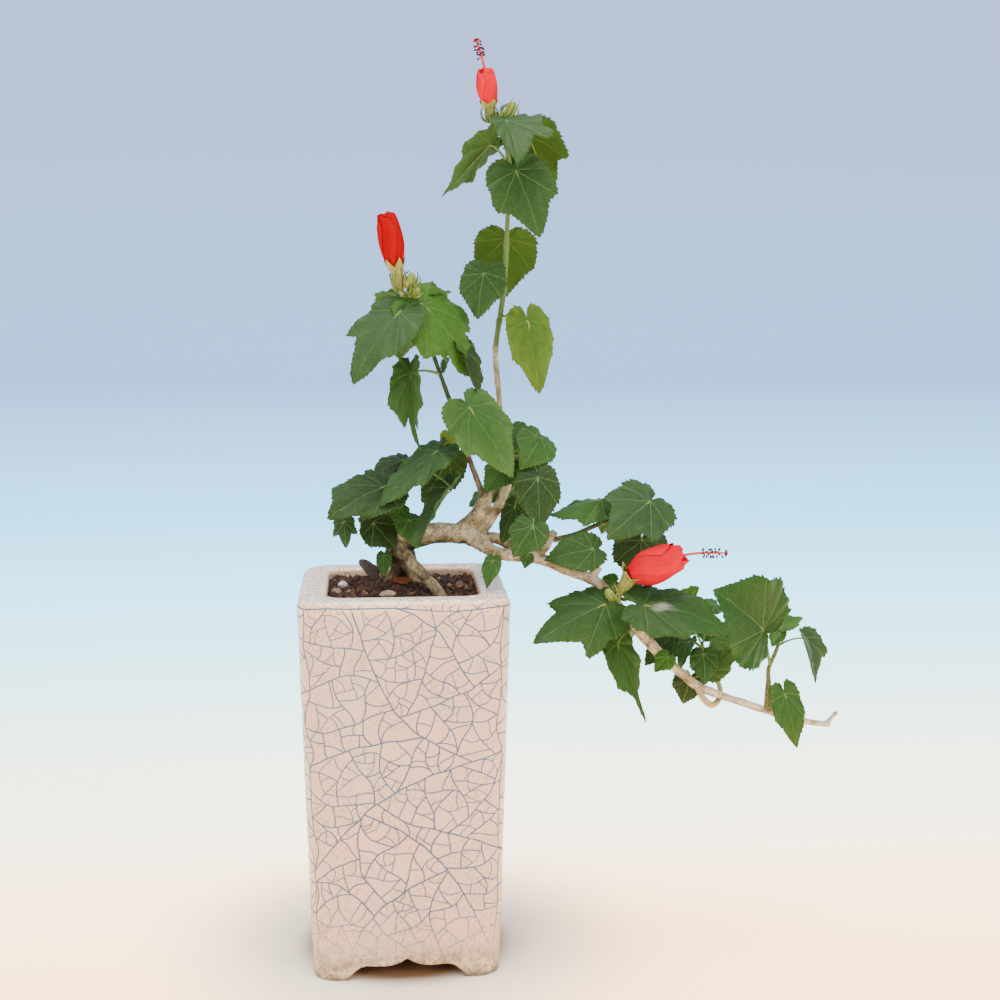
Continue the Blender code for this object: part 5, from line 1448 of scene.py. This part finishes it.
flowerTints = {"calyx": "#66782C", "rib": "#8E864A", "bract": "#3A5A1C", "bud": "#4C6C1E", "column": "#C23A44",
               "anther": "#3C0610", "stigma": "#7A0816", "filament": "#B02E3C"}


def axisFrame(start, end):
    start, end = Vector(start), Vector(end)
    axis = (end - start).normalized()
    across = axis.orthogonal().normalized()
    return start, axis, across, axis.cross(across), (end - start).length


def addBead(piece, center, axis, radius, length, color, sides=8, rings=5):
    center, axis = Vector(center), Vector(axis).normalized()
    across = axis.orthogonal().normalized()
    third = axis.cross(across)
    rows = []
    for i in range(rings + 1):
        turn = math.pi * (0.04 + 0.92 * i / rings)
        rows.append([at(center - axis * (math.cos(turn) * length / 2)
                        + (across * math.cos(math.tau * k / sides) + third * math.sin(math.tau * k / sides))
                        * radius * math.sin(turn)) for k in range(sides)])
    start = addGrid(piece, rows, True, [[color] * sides] * len(rows))
    piece["faces"].append(tuple(start + k for k in range(sides))[::-1])
    piece["faces"].append(tuple(start + rings * sides + k for k in range(sides)))


def petalRadius(flower, s):  # how far out the closed petals stand, by their run from foot to mouth
    if s < flower["belly"]:
        rise = math.sin(max(0.0, s) / flower["belly"] * math.pi / 2) ** 0.8
        return flower["radius"] * (flower["base"] + (1 - flower["base"]) * rise)
    fall = math.cos(min(1.0, (s - flower["belly"]) / (1 - flower["belly"])) * math.pi / 2) ** 0.9
    return flower["radius"] * (flower["close"] + (1 - flower["close"]) * fall)


def addPetals(piece, flower, rng):
    start, axis, across, third, length = axisFrame(flower["throat"], flower["mouth"])
    start = start - axis * 1.2
    length += 1.2
    low, high = toLinear(flower["color"]), toLinear(flower["edge"])
    columns, rows = petalShape["columns"], petalShape["rows"]
    for number in range(5):
        middle = flower["turn"] + number * 72
        height, flare = flower["heights"][number], flower["flares"][number]
        grid, tints, uvs = [], [], []
        for i in range(rows + 1):
            share = i / rows
            points, colors, planes = [], [], []
            for j in range(columns + 1):
                across01 = j / columns * 2 - 1
                top = height * (1 - 0.16 * abs(across01 + 0.15) ** 2.6) - 0.012 * math.sin(across01 * 11 + number * 2)
                s = share * top
                width = 0.5 + 0.5 * math.sin(math.pi * min(1.0, 0.12 + s * 1.1) / 2)
                turn = middle + across01 * petalShape["span"] * width + flower["twist"] * s
                out = petalRadius(flower, s) + petalShape["overlap"] * (across01 * 0.9 + 0.2) * (0.3 + 0.7 * min(1.0, s * 2))
                out += flare * max(0.0, s / height - 0.80) ** 1.5 * 9.0 * max(0.0, across01 + 0.35)
                out += 0.10 * math.sin(across01 * 9 + number) * s + 0.12 * noise.noise(Vector((across01 * 2, s * 4, number * 3.0)))
                angle = math.radians(turn)
                points.append(at(start + axis * (s * length) + (across * math.cos(angle) + third * math.sin(angle)) * out))
                lift = max(0.0, abs(across01) - 0.55) * 0.9 + max(0.0, share - 0.75) * 1.1
                colors.append(mixTint(low, high, min(1.0, lift + 0.25 * noise.noise(Vector((across01 * 1.5, s * 2, number * 5.0))) ** 2)))
                planes.append((j / columns, s))
            grid.append(points)
            tints.append(colors)
            uvs.append(planes)
        addGrid(piece, grid, False, tints, uvs)


def addCalyx(piece, flower, rng):
    start, axis, across, third, length = axisFrame(flower["calyx"], flower["throat"])
    green, pale = toLinear(flowerTints["calyx"]), toLinear(flowerTints["rib"])
    count = 50
    grid, tints = [], []
    for i in range(11):
        points, colors = [], []
        for k in range(count):
            angle = math.tau * k / count
            lobe = (1 - abs((k / count * 5) % 1 * 2 - 1)) ** 1.15
            share = i / 10
            up = share * (length + lobe * flower["lobes"])
            radius = flower["cup"] * (0.34 + 0.72 * min(1.0, up / length) ** 0.7)
            if up > length - 2.0:
                run = (Vector(flower["mouth"]) - Vector(flower["throat"])).length + 1.2
                radius = max(radius, petalRadius(flower, (up - length + 1.2) / run) + 0.95 * min(1.0, (up - length + 2.0) / 2.0))
            radius += 0.13 * math.cos(angle * 10) * min(1.0, share * 3)
            points.append(at(start + axis * up + (across * math.cos(angle) + third * math.sin(angle)) * radius))
            colors.append(mixTint(green, pale, 0.5 + 0.5 * math.cos(angle * 10)))
        grid.append(points)
        tints.append(colors)
    addGrid(piece, grid, True, tints)


def addBracts(piece, foot, end, radius, count, reach, color, rng):
    start, axis, across, third, length = axisFrame(foot, end)
    for k in range(count):
        angle = math.tau * (k + rng.uniform(-0.2, 0.2)) / count
        out = across * math.cos(angle) + third * math.sin(angle)
        tall = reach * rng.uniform(0.75, 1.1)
        bow = radius * rng.uniform(1.1, 1.5)
        tip = radius * rng.uniform(0.6, 1.35)
        tone = mixTint(toLinear(color), toLinear("#7C8E42" if rng.random() < 0.4 else "#3E5C1C"), rng.uniform(0.1, 0.6))
        addTube(piece, ((*(start + out * 0.7), 0.46), (*(start + axis * tall * 0.22 + out * bow * 0.8), 0.62),
                        (*(start + axis * tall * 0.62 + out * bow), 0.42), (*(start + axis * tall + out * tip), 0.16)),
                (mixTint(tone, toLinear("#7A8038"), 0.3), tone), 6, 4)


def addBud(piece, foot, end, radius, rng):
    foot, end = Vector(foot), Vector(end)
    body = foot.lerp(end, 0.25)
    start, axis, across, third, length = axisFrame(body, foot.lerp(end, 0.9))
    green, pale = toLinear(flowerTints["bud"]), toLinear("#7A8A3A")
    grid, tints = [], []
    for i in range(9):
        turn = math.pi * (0.06 + 0.90 * i / 8)
        ring, colors = [], []
        for k in range(30):
            angle = math.tau * k / 30
            wide = radius * 0.72 * math.sin(turn) ** 0.8 * (1 + 0.07 * math.cos(angle * 5))
            ring.append(at(start + axis * (length * (1 - math.cos(turn)) / 2)
                           + (across * math.cos(angle) + third * math.sin(angle)) * wide))
            colors.append(mixTint(green, pale, 0.5 + 0.5 * math.cos(angle * 5)))
        grid.append(ring)
        tints.append(colors)
    first = addGrid(piece, grid, True, tints)
    piece["faces"].append(tuple(first + k for k in range(30))[::-1])
    piece["faces"].append(tuple(first + 8 * 30 + k for k in range(30)))
    addTube(piece, ((*foot, 0.75), (*body, 0.8)), (green, green), 8, 2)
    addBracts(piece, body, end, radius, 7, (end - body).length * 0.9, flowerTints["bract"], rng)


def addColumn(piece, flower, rng):
    throat, mouth, end = Vector(flower["throat"]), Vector(flower["mouth"]), Vector(flower["column"])
    tints = {name: toLinear(color) for name, color in flowerTints.items()}
    addTube(piece, ((*throat.lerp(mouth, 0.3), 0.8), (*throat.lerp(mouth, 0.8), 0.72), (*mouth.lerp(end, 0.35), 0.62),
                    (*mouth.lerp(end, 0.96), 0.42)), (tints["column"], mixTint(tints["column"], tints["filament"], 0.4)), 10)
    start, axis, across, third, length = axisFrame(mouth, end)
    for k in range(flower["anthers"]):
        share = 0.38 + 0.50 * k / flower["anthers"]
        angle = k * 2.4 + rng.uniform(-0.3, 0.3)
        out = across * math.cos(angle) + third * math.sin(angle)
        root = start + axis * length * share
        far = root + out * rng.uniform(1.5, 2.3) + axis * rng.uniform(-0.6, 0.9)
        addTube(piece, ((*(root + out * 0.35), 0.2), (*root.lerp(far, 0.6), 0.18), (*far, 0.16)),
                (tints["filament"], tints["anther"]), 5, 2)
        addBead(piece, far, out + axis * rng.uniform(-1, 1), 0.58, 1.2, tints["anther"], 6, 3)
    tip = mouth.lerp(end, 0.96)
    for k in range(9):
        angle = math.tau * k / 9
        out = across * math.cos(angle) + third * math.sin(angle)
        far = tip + out * (1.25 if k % 2 else 0.7) + axis * (0.45 if k % 2 else 1.0)
        addTube(piece, ((*tip, 0.16), (*far, 0.14)), (tints["filament"], tints["stigma"]), 5, 2)
        addBead(piece, far, out, 0.55, 1.0, tints["stigma"], 7, 4)


def makeFlowers(stalkMaterial):
    # a soft thin petal: coral red, finely veined along its length, a little velvety
    petal, tree, shader = newMaterial("red mallow petal", {"Roughness": 0.65, "Specular IOR Level": 0.01})
    tint = addNode(tree, "ShaderNodeVertexColor", {"layer_name": "tint"}).outputs[0]
    plane = addNode(tree, "ShaderNodeUVMap", {"uv_map": "plane"}).outputs[0]
    streak = addNode(tree, "ShaderNodeMapping", values={"Scale": (26.0, 1.6, 1.0)}, links={"Vector": plane}).outputs[0]
    veins = addNode(tree, "ShaderNodeTexNoise", values={"Scale": 1.0, "Detail": 3.0}, links={"Vector": streak}).outputs[0]
    tree.links.new(mixColors(tree, remap(tree, veins, 0.45, 0.75, 0.0, 0.35), tint, toLinear("#7E0304")), shader.inputs["Base Color"])
    bump = addNode(tree, "ShaderNodeBump", values={"Strength": 0.35, "Distance": 0.0004}, links={"Height": veins})
    tree.links.new(bump.outputs[0], shader.inputs["Normal"])
    # moist pink column, dark red anthers: the colours sit in the mesh
    column, tree, shader = newMaterial("stamen column", {"Roughness": 0.5, "Specular IOR Level": 0.12, "Subsurface Weight": 0.1, "Subsurface Scale": 0.001})
    tint = addNode(tree, "ShaderNodeVertexColor", {"layer_name": "tint"}).outputs[0]
    tree.links.new(tint, shader.inputs["Base Color"])
    columns, greens, cups = newPiece(), newPiece(), newPiece()
    for node, flower in flowers.items():
        rng = random.Random(len(node) * 31)
        petals = newPiece()
        addPetals(petals, flower, rng)
        made = makePiece(node.replace("flower_", "petals_"), petals, [petal], (node,), 0)
        shell = made.modifiers.new("thickness", "SOLIDIFY")
        shell.thickness = petalShape["thick"] * mm
        shell.offset = -1.0
        addCalyx(cups, flower, rng)
        addTube(greens, ((*flower["foot"], 1.0), (*Vector(flower["foot"]).lerp(Vector(flower["calyx"]), 0.6), 0.95),
                         (*flower["calyx"], 1.25)), (toLinear("#66783A"), toLinear("#7C8A3E")), 10, 3)
        addBracts(greens, flower["calyx"], flower["throat"], flower["cup"], flower["bracts"], flower["reach"],
                  flowerTints["bract"], rng)
        for foot, end, radius in flower["buds"]:
            addBud(greens, foot, end, radius, rng)
        if flower["column"]:
            addColumn(columns, flower, rng)
    made = makePiece("calyxCups", cups, [stalkMaterial], (), 0)
    shell = made.modifiers.new("thickness", "SOLIDIFY")
    shell.thickness = 0.3 * mm
    shell.offset = -1.0
    makePiece("bractsAndBuds", greens, [stalkMaterial], (), 0)
    makePiece("stamenColumns", columns, [column], (), 0)
    print("flowers:", len(flowers))


makeFlowers(stalkMaterial)
